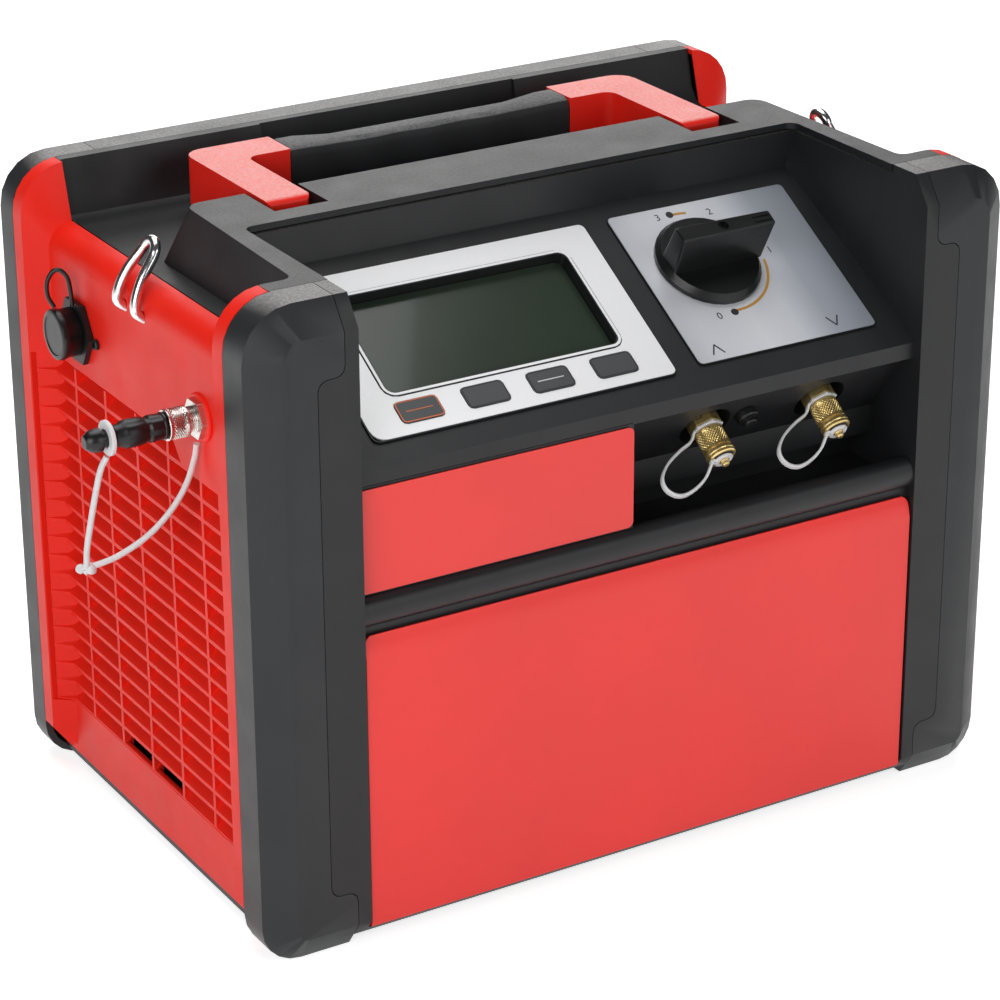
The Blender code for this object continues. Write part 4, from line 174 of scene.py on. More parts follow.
def toward(point, direction):
    turn = Vector(direction).normalized().to_track_quat("Z", "Y")
    return Matrix.Translation(Vector(point)) @ turn.to_matrix().to_4x4()


def port_place(x):
    down = Vector((0, math.sin(PORT_ANGLE), -math.cos(PORT_ANGLE))) * PORT_DOWN_FACE
    point = case(x, PORT_FACE_Y, LIP_BOTTOM) + down
    return toward(point, (0, -math.cos(PORT_ANGLE), -math.sin(PORT_ANGLE)))


def left_place(y, z):
    return toward(case(-SIDE, y, z), (-1, 0, 0))


# Materials
def srgb(red, green, blue):
    """Linear colour of 8-bit screen values"""
    def channel(value):
        share = value / 255
        return share / 12.92 if share <= 0.04045 else ((share + 0.055) / 1.055) ** 2.4
    return (channel(red), channel(green), channel(blue), 1)


# A Mix node's colour sockets, whose names repeat those of its other types
MIX_FIRST = 6
MIX_SECOND = 7
MIX_RESULT = 2


class Look:
    """A principled material with object coordinates and short helpers for its nodes"""

    def __init__(self, name, roughness, metallic=0.0, specular=0.5):
        self.material = bpy.data.materials.new(name)
        self.material.use_nodes = True
        self.tree = self.material.node_tree
        self.shader = self.tree.nodes["Principled BSDF"]
        self.shader.inputs["Roughness"].default_value = roughness
        self.shader.inputs["Metallic"].default_value = metallic
        self.shader.inputs["Specular IOR Level"].default_value = specular
        self.place = self.tree.nodes.new("ShaderNodeTexCoord").outputs["Object"]

    def link(self, start, end):
        self.tree.links.new(start, end)

    def stretched(self, scale):
        node = self.tree.nodes.new("ShaderNodeMapping")
        node.inputs["Scale"].default_value = scale
        self.link(self.place, node.inputs["Vector"])
        return node.outputs["Vector"]

    def noise(self, scale, detail=3.0, vector=None, roughness=0.55):
        node = self.tree.nodes.new("ShaderNodeTexNoise")
        node.inputs["Scale"].default_value = scale
        node.inputs["Detail"].default_value = detail
        node.inputs["Roughness"].default_value = roughness
        self.link(vector or self.place, node.inputs["Vector"])
        return node.outputs["Fac"]

    def ramp(self, factor, stops):
        node = self.tree.nodes.new("ShaderNodeValToRGB")
        points = node.color_ramp.elements
        while len(points) < len(stops):
            points.new(0.5)
        for point, (position, value) in zip(points, stops):
            point.position = position
            point.color = value if isinstance(value, tuple) else (value, value, value, 1)
        self.link(factor, node.inputs["Fac"])
        return node.outputs["Color"]

    def bump(self, height, strength, distance, below=None):
        node = self.tree.nodes.new("ShaderNodeBump")
        node.inputs["Strength"].default_value = strength
        node.inputs["Distance"].default_value = distance
        self.link(height, node.inputs["Height"])
        if below:
            self.link(below, node.inputs["Normal"])
        self.link(node.outputs["Normal"], self.shader.inputs["Normal"])
        return node.outputs["Normal"]

    def part(self, vector, axis):
        node = self.tree.nodes.new("ShaderNodeSeparateXYZ")
        self.link(vector, node.inputs["Vector"])
        return node.outputs[axis]

    def maths(self, operation, first, second):
        node = self.tree.nodes.new("ShaderNodeMath")
        node.operation = operation
        self.link(first, node.inputs[0])
        if isinstance(second, float):
            node.inputs[1].default_value = second
        else:
            self.link(second, node.inputs[1])
        return node.outputs[0]

    def mixed(self, factor, first, second, blend="MIX"):
        """Two colours mixed, where each input is a node's output or a plain value"""
        node = self.tree.nodes.new("ShaderNodeMix")
        node.data_type = "RGBA"
        node.blend_type = blend
        sockets = (node.inputs["Factor"], node.inputs[MIX_FIRST], node.inputs[MIX_SECOND])
        for socket, value in zip(sockets, (factor, first, second)):
            if isinstance(value, bpy.types.NodeSocket):
                self.link(value, socket)
            else:
                socket.default_value = value
        return node.outputs[MIX_RESULT]

    def clouded(self, colour, spread):
        """A colour that drifts a little lighter and darker"""
        stops = [(0.3, shade(colour, 1 - spread)), (0.72, shade(colour, 1 + spread))]
        return self.ramp(self.noise(28.0, 5.0), stops)

    def moulded(self, roughness, grain, depth):
        """Spark-eroded grain over faint flow marks, with rubbed patches"""
        self.roughness(self.noise(60.0, 6.0), [(0.3, roughness - 0.04), (0.75, roughness + 0.05)])
        coarse = self.bump(self.noise(grain, 2.0), 0.5, depth)
        self.bump(self.noise(9.0, 2.0), 0.08, 0.0006, coarse)

    def base(self, colour):
        self.link(colour, self.shader.inputs["Base Color"])

    def colours(self, factor, stops):
        self.base(self.ramp(factor, stops))

    def roughness(self, factor, stops):
        self.link(self.ramp(factor, stops), self.shader.inputs["Roughness"])


def shade(colour, factor):
    return tuple(min(1.0, channel * factor) for channel in colour[:3]) + (1,)


def plastic(name, colour, roughness, grain, depth, spread, specular=0.5):
    look = Look(name, roughness, specular=specular)
    look.base(look.clouded(colour, spread))
    look.moulded(roughness, grain, depth)
    return look.material


def worn_plastic(name, colour, sheen_colour, roughness, grain, depth, spread, specular):
    """Moulded plastic whose high, up-facing faces take a paler colour: a painted sheen of light on the tops
    """
    look = Look(name, roughness, specular=specular)
    facing = look.tree.nodes.new("ShaderNodeNewGeometry").outputs["Normal"]
    # Faces that point up and lie high get the paler colour, a painted sheen broken up by fine speckle
    up = look.ramp(look.part(facing, "Z"), [(0.82, 0.0), (0.97, 1.0)])
    height = look.maths("MULTIPLY", look.part(look.place, "Z"), SHEEN_SCALE)
    high = look.ramp(height, [(SHEEN_FROM * SHEEN_SCALE, 0.0), (SHEEN_FULL * SHEEN_SCALE, 1.0)])
    sheen_mask = look.maths("MULTIPLY", up, high)
    speckle = look.ramp(look.noise(620.0, 5.0, roughness=0.8), [(0.36, 0.25), (0.64, 1.0)])
    factor = look.maths("MULTIPLY", sheen_mask, speckle)
    look.base(look.mixed(factor, look.clouded(colour, spread), sheen_colour))
    look.moulded(roughness, grain, depth)
    return look.material


def painted(name, colour, roughness):
    """Powder-coated sheet: low orange peel under a thin clear film"""
    look = Look(name, roughness)
    look.shader.inputs["Coat Weight"].default_value = 0.25
    look.shader.inputs["Coat Roughness"].default_value = 0.22
    look.colours(look.noise(14.0, 4.0), [(0.3, shade(colour, 0.95)), (0.7, shade(colour, 1.05))])
    look.bump(look.noise(420.0, 2.0), 0.35, 0.00005)
    return look.material


def rubber(name, colour):
    look = Look(name, 0.72, specular=0.35)
    look.colours(look.noise(90.0, 5.0), [(0.3, shade(colour, 0.8)), (0.7, shade(colour, 1.25))])
    look.bump(look.noise(2600.0, 2.0), 0.5, 0.00003)
    return look.material


def nylon(name, colour):
    look = Look(name, 0.42)
    look.shader.inputs["Subsurface Weight"].default_value = 0.15
    look.shader.inputs["Subsurface Radius"].default_value = (0.002, 0.002, 0.002)
    look.colours(look.noise(160.0, 4.0), [(0.3, shade(colour, 0.93)), (0.7, colour)])
    look.bump(look.noise(1900.0, 2.0), 0.25, 0.00003)
    return look.material


def metal(name, colour, roughness, streak=(1, 1, 1), metallic=1.0):
    """Turned or plated metal with fine tool marks and slight tarnish"""
    look = Look(name, roughness, metallic=metallic)
    vector = look.stretched(streak)
    look.colours(look.noise(120.0, 4.0), [(0.3, shade(colour, 0.86)), (0.7, shade(colour, 1.05))])
    look.roughness(look.noise(700.0, 3.0, vector), [(0.3, roughness * 0.8), (0.75, roughness * 1.35)])
    look.bump(look.noise(1400.0, 2.0, vector), 0.2, 0.00003)
    return look.material


def overlay(name, stops, roughness, axis_shift, axis_scale, metallic):
    """A printed silver film: fine flake, and a change of tone across it, which on the selector plate is a
    painted reflection band
    """
    look = Look(name, roughness, metallic=metallic)
    node = look.tree.nodes.new("ShaderNodeMapping")
    node.inputs["Location"].default_value = axis_shift
    node.inputs["Scale"].default_value = axis_scale
    look.link(look.place, node.inputs["Vector"])
    gradient = look.tree.nodes.new("ShaderNodeTexGradient")
    look.link(node.outputs["Vector"], gradient.inputs["Vector"])
    tone = look.ramp(gradient.outputs["Fac"], stops)
    flake = look.ramp(look.noise(3800.0, 1.0), [(0.35, 0.93), (0.65, 1.0)])
    look.base(look.mixed(1.0, tone, flake, "MULTIPLY"))
    look.bump(look.noise(3000.0, 1.0), 0.15, 0.00002)
    return look.material


def glass(name):
    """A reflective display: dark green cell behind a clear film"""
    look = Look(name, 0.2, specular=0.3)
    look.shader.inputs["Coat Weight"].default_value = 0.2
    look.shader.inputs["Coat Roughness"].default_value = 0.05
    green = srgb(42, 54, 42)
    look.colours(look.noise(16.0, 2.0), [(0.3, shade(green, 0.85)), (0.7, shade(green, 1.15))])
    look.bump(look.noise(260.0, 2.0), 0.04, 0.00005)
    return look.material


def board(name):
    look = Look(name, 0.45)
    tracks = look.noise(240.0, 1.0)
    look.colours(tracks, [(0.47, (0.012, 0.09, 0.035, 1)), (0.5, (0.03, 0.2, 0.08, 1))])
    look.bump(tracks, 0.3, 0.0001)
    return look.material


# Heights where the painted sheen on moulded tops begins and is full, and what spreads them over a ramp
SHEEN_FROM = 0.301
SHEEN_FULL = 0.304
SHEEN_SCALE = 3.0
MATERIALS = {
    # The second colour of guard, frame, cover, handle and grip is the painted sheen on their tops
    "guard": worn_plastic("guard_plastic", srgb(40, 42, 44), srgb(128, 124, 122), 0.42, 1000.0, 0.0001,
                          0.12, 0.34),
    "frame": worn_plastic("frame_plastic", srgb(30, 31, 33), srgb(122, 120, 118), 0.44, 1000.0, 0.00008,
                          0.12, 0.36),
    "cover": worn_plastic("cover_plastic", srgb(26, 27, 29), srgb(70, 69, 68), 0.48, 900.0, 0.00012, 0.12,
                          0.3),
    "handle": worn_plastic("handle_plastic", srgb(240, 38, 24), srgb(228, 146, 138), 0.42, 1500.0, 0.00005,
                           0.05, 0.34),
    "grip": worn_plastic("grip_rubber", srgb(34, 35, 37), srgb(104, 104, 104), 0.6, 1800.0, 0.00005, 0.1,
                         0.35),
    "red": plastic("red_plastic", srgb(244, 38, 22), 0.44, 1500.0, 0.00004, 0.05, 0.26),
    "sheet": painted("red_sheet", srgb(248, 42, 34), 0.34),
    "decal": painted("red_decal", srgb(248, 48, 40), 0.28),
    "black": plastic("black_plastic", srgb(20, 21, 22), 0.42, 1800.0, 0.00003, 0.1, 0.4),
    "knob": plastic("knob_plastic", srgb(13, 14, 15), 0.33, 2200.0, 0.00003, 0.1, 0.38),
    "rubber": rubber("black_rubber", srgb(36, 37, 39)),
    "gloss": plastic("glossy_rubber", srgb(17, 17, 18), 0.34, 2400.0, 0.00002, 0.1, 0.45),
    "nylon": nylon("white_nylon", srgb(232, 232, 233)),
    "brass": metal("yellow_brass", srgb(236, 208, 138), 0.3, (1, 1, 0.2), 0.85),
    "nickel": metal("nickel_plate", srgb(214, 210, 205), 0.26, (0.2, 1, 1)),
    "chrome": metal("chrome_wire", srgb(232, 233, 235), 0.2, (1, 1, 0.1)),
    "steel": metal("dull_steel", srgb(168, 170, 172), 0.34),
    "cast": metal("cast_aluminium", srgb(150, 151, 153), 0.55),
    "copper": metal("copper_pipe", srgb(196, 120, 84), 0.3),
    "key": plastic("key_film", srgb(62, 64, 67), 0.4, 2600.0, 0.00002, 0.08),
    "glass": glass("display_cell"),
    "board": board("circuit_board"),
    "mark": plastic("dark_print", srgb(34, 36, 40), 0.5, 2600.0, 0.00001, 0.05),
    "gold": plastic("gold_print", srgb(190, 138, 52), 0.42, 2600.0, 0.00001, 0.08),
    "orange": plastic("orange_print", srgb(206, 104, 60), 0.5, 2600.0, 0.00001, 0.06),
    "pale": plastic("pale_print", srgb(206, 208, 210), 0.5, 2600.0, 0.00001, 0.05),
}
MATERIALS["fascia"] = overlay(
    "silver_film", [(0.0, srgb(252, 252, 253)), (1.0, srgb(236, 236, 238))], 0.4,
    (0.6, 0, 0), (4, 0, 0), 0.15,
)
PLATE_SPAN = PLATE[2] - PLATE[0]
# The plate's tone stops paint a reflection: a light band across the middle, darker towards both ends and
# most at the right
MATERIALS["plate"] = overlay(
    "steel_film", [(0.0, srgb(196, 199, 205)), (0.12, srgb(216, 218, 224)), (0.4, srgb(232, 234, 239)),
                   (0.6, srgb(216, 219, 225)), (0.78, srgb(166, 171, 181)), (1.0, srgb(142, 148, 158))],
                   0.38,
    (-(PLATE[0] + SHIFT.x) / PLATE_SPAN, 0, 0), (1 / PLATE_SPAN, 0, 0), 0.3,
)
NODE_LOOKS = {
    "guard": ["front_guard_left", "front_guard_right", "rear_guard_left", "rear_guard_right"],
    "frame": ["front_frame", "rear_frame"],
    "cover": ["top_cover"],
    "red": ["side_shell_left", "side_shell_right"],
    "handle": ["handle_frame"],
    "sheet": ["front_panel", "rear_panel"],
    "decal": ["label_plate"],
    "black": ["base_tray", "power_inlet", "switch_housing", "rocker_switch", "display_bezel",
              "reset_breaker",
              "reset_collar", "reset_button", "flange_connector", "plug_body", "fan_rotor", "fan_shroud"],
    "knob": ["selector_knob"],
    "grip": ["handle_grip"],
    "gloss": ["dust_cap", "dust_cap_strap"],
    "nylon": ["inlet_cap_strap", "outlet_cap_strap", "inlet_cap_ring", "outlet_cap_ring", "tether_ring",
              "plug_tether"],
    "brass": ["inlet_port", "outlet_port", "inlet_cap", "outlet_cap", "valve_block"],
    "nickel": ["sensor_socket", "plug_ring"],
    "chrome": ["strap_eye_left", "strap_eye_right"],
    "steel": ["handle_pin_left", "handle_pin_right", "valve_stem"],
    "cast": ["condenser", "compressor_motor", "compressor_pump"],
    "copper": ["filter_drier"],
    "key": ["key_1", "key_2", "key_3", "key_4"],
    "glass": ["display_glass"],
    "board": ["key_board", "control_board"],
    "fascia": ["display_fascia"],
    "plate": ["selector_plate"],
}
EDGE_WIDTHS = {
    "front_guard_left": 0.0008, "front_guard_right": 0.0008, "rear_guard_left": 0.0008,
    "rear_guard_right": 0.0008,
    "front_frame": 0.0003, "rear_frame": 0.0005, "top_cover": 0.0003, "handle_frame": 0.0009,
    "side_shell_left": 0.0003, "side_shell_right": 0.0003,
    "front_panel": 0.0004, "rear_panel": 0.0004, "selector_knob": 0.0004, "handle_grip": 0.0006,
    "power_inlet": 0.0003, "switch_housing": 0.0003, "rocker_switch": 0.0004, "inlet_port": 0.0003,
    "outlet_port": 0.0003, "sensor_socket": 0.0002, "flange_connector": 0.0003, "display_bezel": 0.0002,
    "reset_collar": 0.0003, "reset_button": 0.0003,
}


def soften(node, width):
    """Round a CAD node's sharp edges a little, as moulds and presses do"""
    weld = node.modifiers.new("weld", "WELD")
    weld.merge_threshold = WELD_DISTANCE
    edge = node.modifiers.new("edge", "BEVEL")
    edge.width = width
    edge.segments = 2
    edge.limit_method = "ANGLE"
    edge.angle_limit = EDGE_ANGLE
    edge.use_clamp_overlap = True
    edge.harden_normals = False
    normals = node.modifiers.new("normals", "WEIGHTED_NORMAL")
    normals.keep_sharp = False


def dress_nodes():
    for look, names in NODE_LOOKS.items():
        for name in names:
            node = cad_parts[name]
            node.data.materials.clear()
            node.data.materials.append(MATERIALS[look])
            if name in EDGE_WIDTHS:
                soften(node, EDGE_WIDTHS[name])


# Shapes
def finish_mesh(name, vertices, faces, look, body, sharp=35):
    mesh = bpy.data.meshes.new(name)
    mesh.from_pydata([tuple(vertex) for vertex in vertices], [], faces)
    form = bmesh.new()
    form.from_mesh(mesh)
    bmesh.ops.recalc_face_normals(form, faces=form.faces)
    form.to_mesh(mesh)
    form.free()
    mesh.shade_smooth()
    mesh.set_sharp_from_angle(angle=math.radians(sharp))
    piece = bpy.data.objects.new(name, mesh)
    bpy.context.scene.collection.objects.link(piece)
    mesh.materials.append(MATERIALS[look])
    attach(piece, body)
    return piece


def turned(profile, place, steps=48, closed=False):
    """Vertices and faces of a (radius, along) profile spun about a placing matrix's Z axis"""
    vertices = []
    rings = []
    for radius, along in profile:
        if radius < 1e-7:
            rings.append([len(vertices)] * steps)
            vertices.append(place @ Vector((0, 0, along)))
            continue
        rings.append(list(range(len(vertices), len(vertices) + steps)))
        for step in range(steps):
            angle = 2 * math.pi * step / steps
            vertices.append(place @ Vector((radius * math.cos(angle), radius * math.sin(angle), along)))
    pairs = list(zip(rings, rings[1:]))
    if closed:
        pairs.append((rings[-1], rings[0]))
    faces = []
    for lower, upper in pairs:
        for step in range(steps):
            following = (step + 1) % steps
            corners = [lower[step], lower[following], upper[following], upper[step]]
            face = [corner for index, corner in enumerate(corners) if corner not in corners[:index]]
            if len(face) > 2:
                faces.append(tuple(face))
    return vertices, faces


def turned_piece(name, profile, place, look, body, closed=False):
    return finish_mesh(name, *turned(profile, place, closed=closed), look, body)


def loft(rings, round_trip=False):
    """Vertices and faces of a solid through rings with the same number of points"""
    count = len(rings[0])
    vertices = [point for ring in rings for point in ring]
    faces = [] if round_trip else [tuple(range(count)), tuple(range(len(vertices) - count, len(vertices)))]
    levels = len(rings) if round_trip else len(rings) - 1
    for level in range(levels):
        start = level * count
        above = (level + 1) % len(rings) * count
        for step in range(count):
            following = (step + 1) % count
            faces.append((start + step, start + following, above + following, above + step))
    return vertices, faces


def prism(outline, low, high, place):
    return loft([[place @ Vector((x, y, level)) for x, y in outline] for level in (low, high)])


def gather(shapes):
    """Several shapes as the vertices and faces of one mesh"""
    vertices = []
    faces = []
    for points, corners in shapes:
        start = len(vertices)
        vertices += points
        faces += [tuple(start + corner for corner in face) for face in corners]
    return vertices, faces


def rounded(low_x, low_y, high_x, high_y, radius, steps=5):
    outline = []
    centres = ((high_x - radius, high_y - radius, 0), (low_x + radius, high_y - radius, 90),
               (low_x + radius, low_y + radius, 180), (high_x - radius, low_y + radius, 270))
    for x, y, start in centres:
        for step in range(steps + 1):
            angle = math.radians(start + 90 * step / steps)
            outline.append((x + radius * math.cos(angle), y + radius * math.sin(angle)))
    return outline


def frame_band(box, spare, width, radius, low, high, place):
    """A flat rounded frame: a closed band between two outlines"""
    x0, y0, x1, y1 = box
    outer = rounded(x0 - spare, y0 - spare, x1 + spare, y1 + spare, radius + spare)
    inner_spare = spare - width
    inner = rounded(x0 - inner_spare, y0 - inner_spare, x1 + inner_spare, y1 + inner_spare,
                    max(radius + inner_spare, 0.0003))
    rings = [[place @ Vector((x, y, level)) for x, y in ring]
             for ring, level in ((outer, low), (outer, high), (inner, high), (inner, low))]
    return loft(rings, True)


def ribbon(points, width, low, high, place):
    """A flat line of one width along points in the plane"""
    left = []
    right = []
    for index, point in enumerate(points):
        before = Vector(points[max(index - 1, 0)])
        after = Vector(points[min(index + 1, len(points) - 1)])
        run = (after - before).normalized()
        across = Vector((-run.y, run.x)) * width / 2
        left.append(tuple(Vector(point) + across))
        right.append(tuple(Vector(point) - across))
    return prism(left + right[::-1], low, high, place)


def arc(centre, radius, start, end, steps=24):
    """Points on an arc between two angles in degrees"""
    points = []
    for step in range(steps + 1):
        angle = math.radians(start + (end - start) * step / steps)
        points.append((centre[0] + radius * math.cos(angle), centre[1] + radius * math.sin(angle)))
    return points


def smooth_route(points, steps=6):
    """A Catmull-Rom line through points in space"""
    spots = [Vector(point) for point in points]
    spots = [spots[0] * 2 - spots[1]] + spots + [spots[-1] * 2 - spots[-2]]
    route = []
    for index in range(1, len(spots) - 2):
        first, second, third, fourth = spots[index - 1:index + 3]
        for step in range(steps):
            t = step / steps
            bend = 2 * first - 5 * second + 4 * third - fourth
            twist = 3 * second - first - 3 * third + fourth
            route.append(0.5 * (2 * second + (third - first) * t + bend * t * t + twist * t ** 3))
    route.append(spots[-2])
    return route


def tube(route, radii, sides=14):
    """A round tube along a route, its radius given for each point or once"""
    rings = []
    normal = None
    for index, point in enumerate(route):
        before = route[max(index - 1, 0)]
        after = route[min(index + 1, len(route) - 1)]
        run = (after - before).normalized()
        if normal is None:
            normal = run.orthogonal().normalized()
        normal = (normal - run * normal.dot(run)).normalized()
        across = run.cross(normal)
        radius = radii[index] if isinstance(radii, list) else radii
        ring = []
        for side in range(sides):
            angle = 2 * math.pi * side / sides
            ring.append(point + (normal * math.cos(angle) + across * math.sin(angle)) * radius)
        rings.append(ring)
    return loft(rings)


def band(route, across, width, thickness):
    """A flat strap with rounded edges along a route"""
    section = rounded(-width / 2, -thickness / 2, width / 2, thickness / 2, thickness * 0.42, 3)
    rings = []
    for index, point in enumerate(route):
        before = route[max(index - 1, 0)]
        after = route[min(index + 1, len(route) - 1)]
        run = (after - before).normalized()
        out = run.cross(across).normalized()
        side = out.cross(run).normalized()
        rings.append([point + side * x + out * y for x, y in section])
    return loft(rings)


def knurled(radius, start, end, count, rows, depth, place):
    """Diamond knurling on a cylinder, as an open sleeve"""
    fine = 4
    columns = count * fine
    levels = rows * fine
    vertices = []
    for level in range(levels + 1):
        along = start + (end - start) * level / levels
        fade = min(1.0, 4 * min(level, levels - level) / levels)
        for column in range(columns):
            u = column / fine
            v = level / fine
            first = abs((u + v) % 1 - 0.5) * 2
            second = abs((u - v) % 1 - 0.5) * 2
            height = radius - depth * fade * (1 - min(first, second))
            angle = 2 * math.pi * column / columns
            vertices.append(place @ Vector((height * math.cos(angle), height * math.sin(angle), along)))
    faces = []
    for level in range(levels):
        for column in range(columns):
            following = (column + 1) % columns
            base = level * columns
            faces.append((base + column, base + following, base + columns + following,
                          base + columns + column))
    return vertices, faces


def threaded(radius, start, end, pitch, depth, place, steps=40):
    """A screw thread as an open sleeve with a single start"""
    fine = 8
    levels = int((end - start) / pitch * fine)
    vertices = []
    for level in range(levels + 1):
        for step in range(steps):
            phase = (level / fine - step / steps) % 1
            height = radius - depth * abs(phase - 0.5) * 2
            angle = 2 * math.pi * step / steps
            along = start + (end - start) * level / levels
            vertices.append(place @ Vector((height * math.cos(angle), height * math.sin(angle), along)))
    faces = []
    for level in range(levels):
        for step in range(steps):
            following = (step + 1) % steps
            base = level * steps
            faces.append((base + step, base + following, base + steps + following, base + steps + step))
    return vertices, faces


def number(name, text, size, spot, place):
    """A plain number printed on the selector's plate"""
    data = bpy.data.curves.new(name, "FONT")
    data.body = text
    data.size = size
    data.align_x = "CENTER"
    data.align_y = "CENTER"
    data.extrude = 0.00003
    data.resolution_u = 4
    piece = bpy.data.objects.new(name, data)
    piece.matrix_world = place @ Matrix.Translation((*spot, FASCIA_TOP + 0.00004))
    bpy.context.scene.collection.objects.link(piece)
    data.materials.append(MATERIALS["mark"])
    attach(piece, "case")


# Prints on the panel: how far they rise off it and sink into it, and their sizes
PRINT = 0.0001
PRINT_SINK = 0.00002
KEY_PRINT = 0.00008
NUMBER_SIZE = 0.0056


def dial_marks():
    place = on_panel()
    low, high = FASCIA_TOP - PRINT_SINK, FASCIA_TOP + PRINT
    centre = (KNOB_X, KNOB_V)
    dots = []
    for angle, radius in ((-94, 0.0309), (95, 0.0323)):
        x, y = arc(centre, radius, angle, angle, 1)[0]
        dots.append(prism(arc((x, y), 0.0019, 0, 345, 23), low, high + PRINT, place))
    finish_mesh("dial_dots", *gather(dots), "mark", "case")
    arcs = [ribbon(arc(centre, radius, start, end), 0.0013, low, high, place)
            for radius, start, end in ((0.0301, -91, -9), (0.0319, 79, 92))]
    finish_mesh("dial_arcs", *gather(arcs), "gold", "case")
    chevrons = []
    for x, v, sign in ((0.0485, 0.0205, 1), (0.1155, 0.0215, -1)):
        points = [(x - 0.0032, v - sign * 0.0028), (x, v + sign * 0.0028), (x + 0.0032, v - sign * 0.0028)]
        chevrons += [ribbon(points[:2], 0.0007, low, high, place),
                     ribbon(points[1:], 0.0007, low, high, place)]
    finish_mesh("port_signs", *gather(chevrons), "mark", "case")
    for index, (angle, radius) in enumerate(((-109, 0.0331), (0, 0.0358), (58, 0.0345), (107, 0.0331))):
        spot = arc(centre, radius, angle, angle, 1)[0]
        number(f"dial_number_{index}", str(index), NUMBER_SIZE, spot, place)


def knob_ribs():
    """Two short ribs on the selector's grip that mark its pointer end"""
    place = on_panel() @ Matrix.Translation((KNOB_X, KNOB_V, 0))
    low, high = KNOB_HEIGHT - 0.0004, KNOB_HEIGHT + 0.0004
    ribs = [prism(rounded(0.0165, v - 0.0005, 0.026, v + 0.0005, 0.0004), low, high, place)
            for v in (-0.0014, 0.0014)]
    finish_mesh("pointer_ribs", *gather(ribs), "knob", "selector")


def panel_trim():
    """The dark seams round both films, the window's light band and the keys' outlines"""
    place = on_panel()
    fascia = (FASCIA_LEFT, FASCIA_FOOT, FASCIA_RIGHT, FASCIA_FOOT + FASCIA_HEIGHT)
    seams = [
        frame_band(fascia, 0.0007, 0.0006, 0.003, 0.0001, FASCIA_TOP - 0.0001, place),
        frame_band(PLATE, 0.0005, 0.0004, 0.0024, 0.0001, FASCIA_TOP - 0.0002, place),
    ]
    finish_mesh("film_seams", *gather(seams), "black", "case")
    top = FASCIA_TOP + 0.0004
    band_ring = frame_band(WINDOW, 0.0019, 0.0013, 0.004, top, top + 0.00012, place)
    finish_mesh("window_band", *band_ring, "fascia", "case")
    for index in range(4):
        body = f"key_{index + 1}"
        middle = (FASCIA_LEFT + FASCIA_RIGHT) / 2 + KEY_PITCH * (index - 1.5)
        box = (middle - KEY_WIDTH / 2, KEY_UP - KEY_HEIGHT / 2, middle + KEY_WIDTH / 2,
               KEY_UP + KEY_HEIGHT / 2)
        look = "orange" if index == 0 else "mark"
        low, high = KEY_TOP - PRINT_SINK, KEY_TOP + KEY_PRINT
        outline = frame_band(box, -0.0002, 0.0006, 0.0022, low, high, place)
        finish_mesh(f"key_outline_{index + 1}", *outline, look, body)
        if index in (0, 2):
            ends = [(middle - 0.0068, KEY_UP), (middle + 0.0068, KEY_UP)]
            rule = ribbon(ends, 0.0005, low, high, place)
            finish_mesh(f"key_rule_{index + 1}", *rule, "orange" if index == 0 else "pale", body)


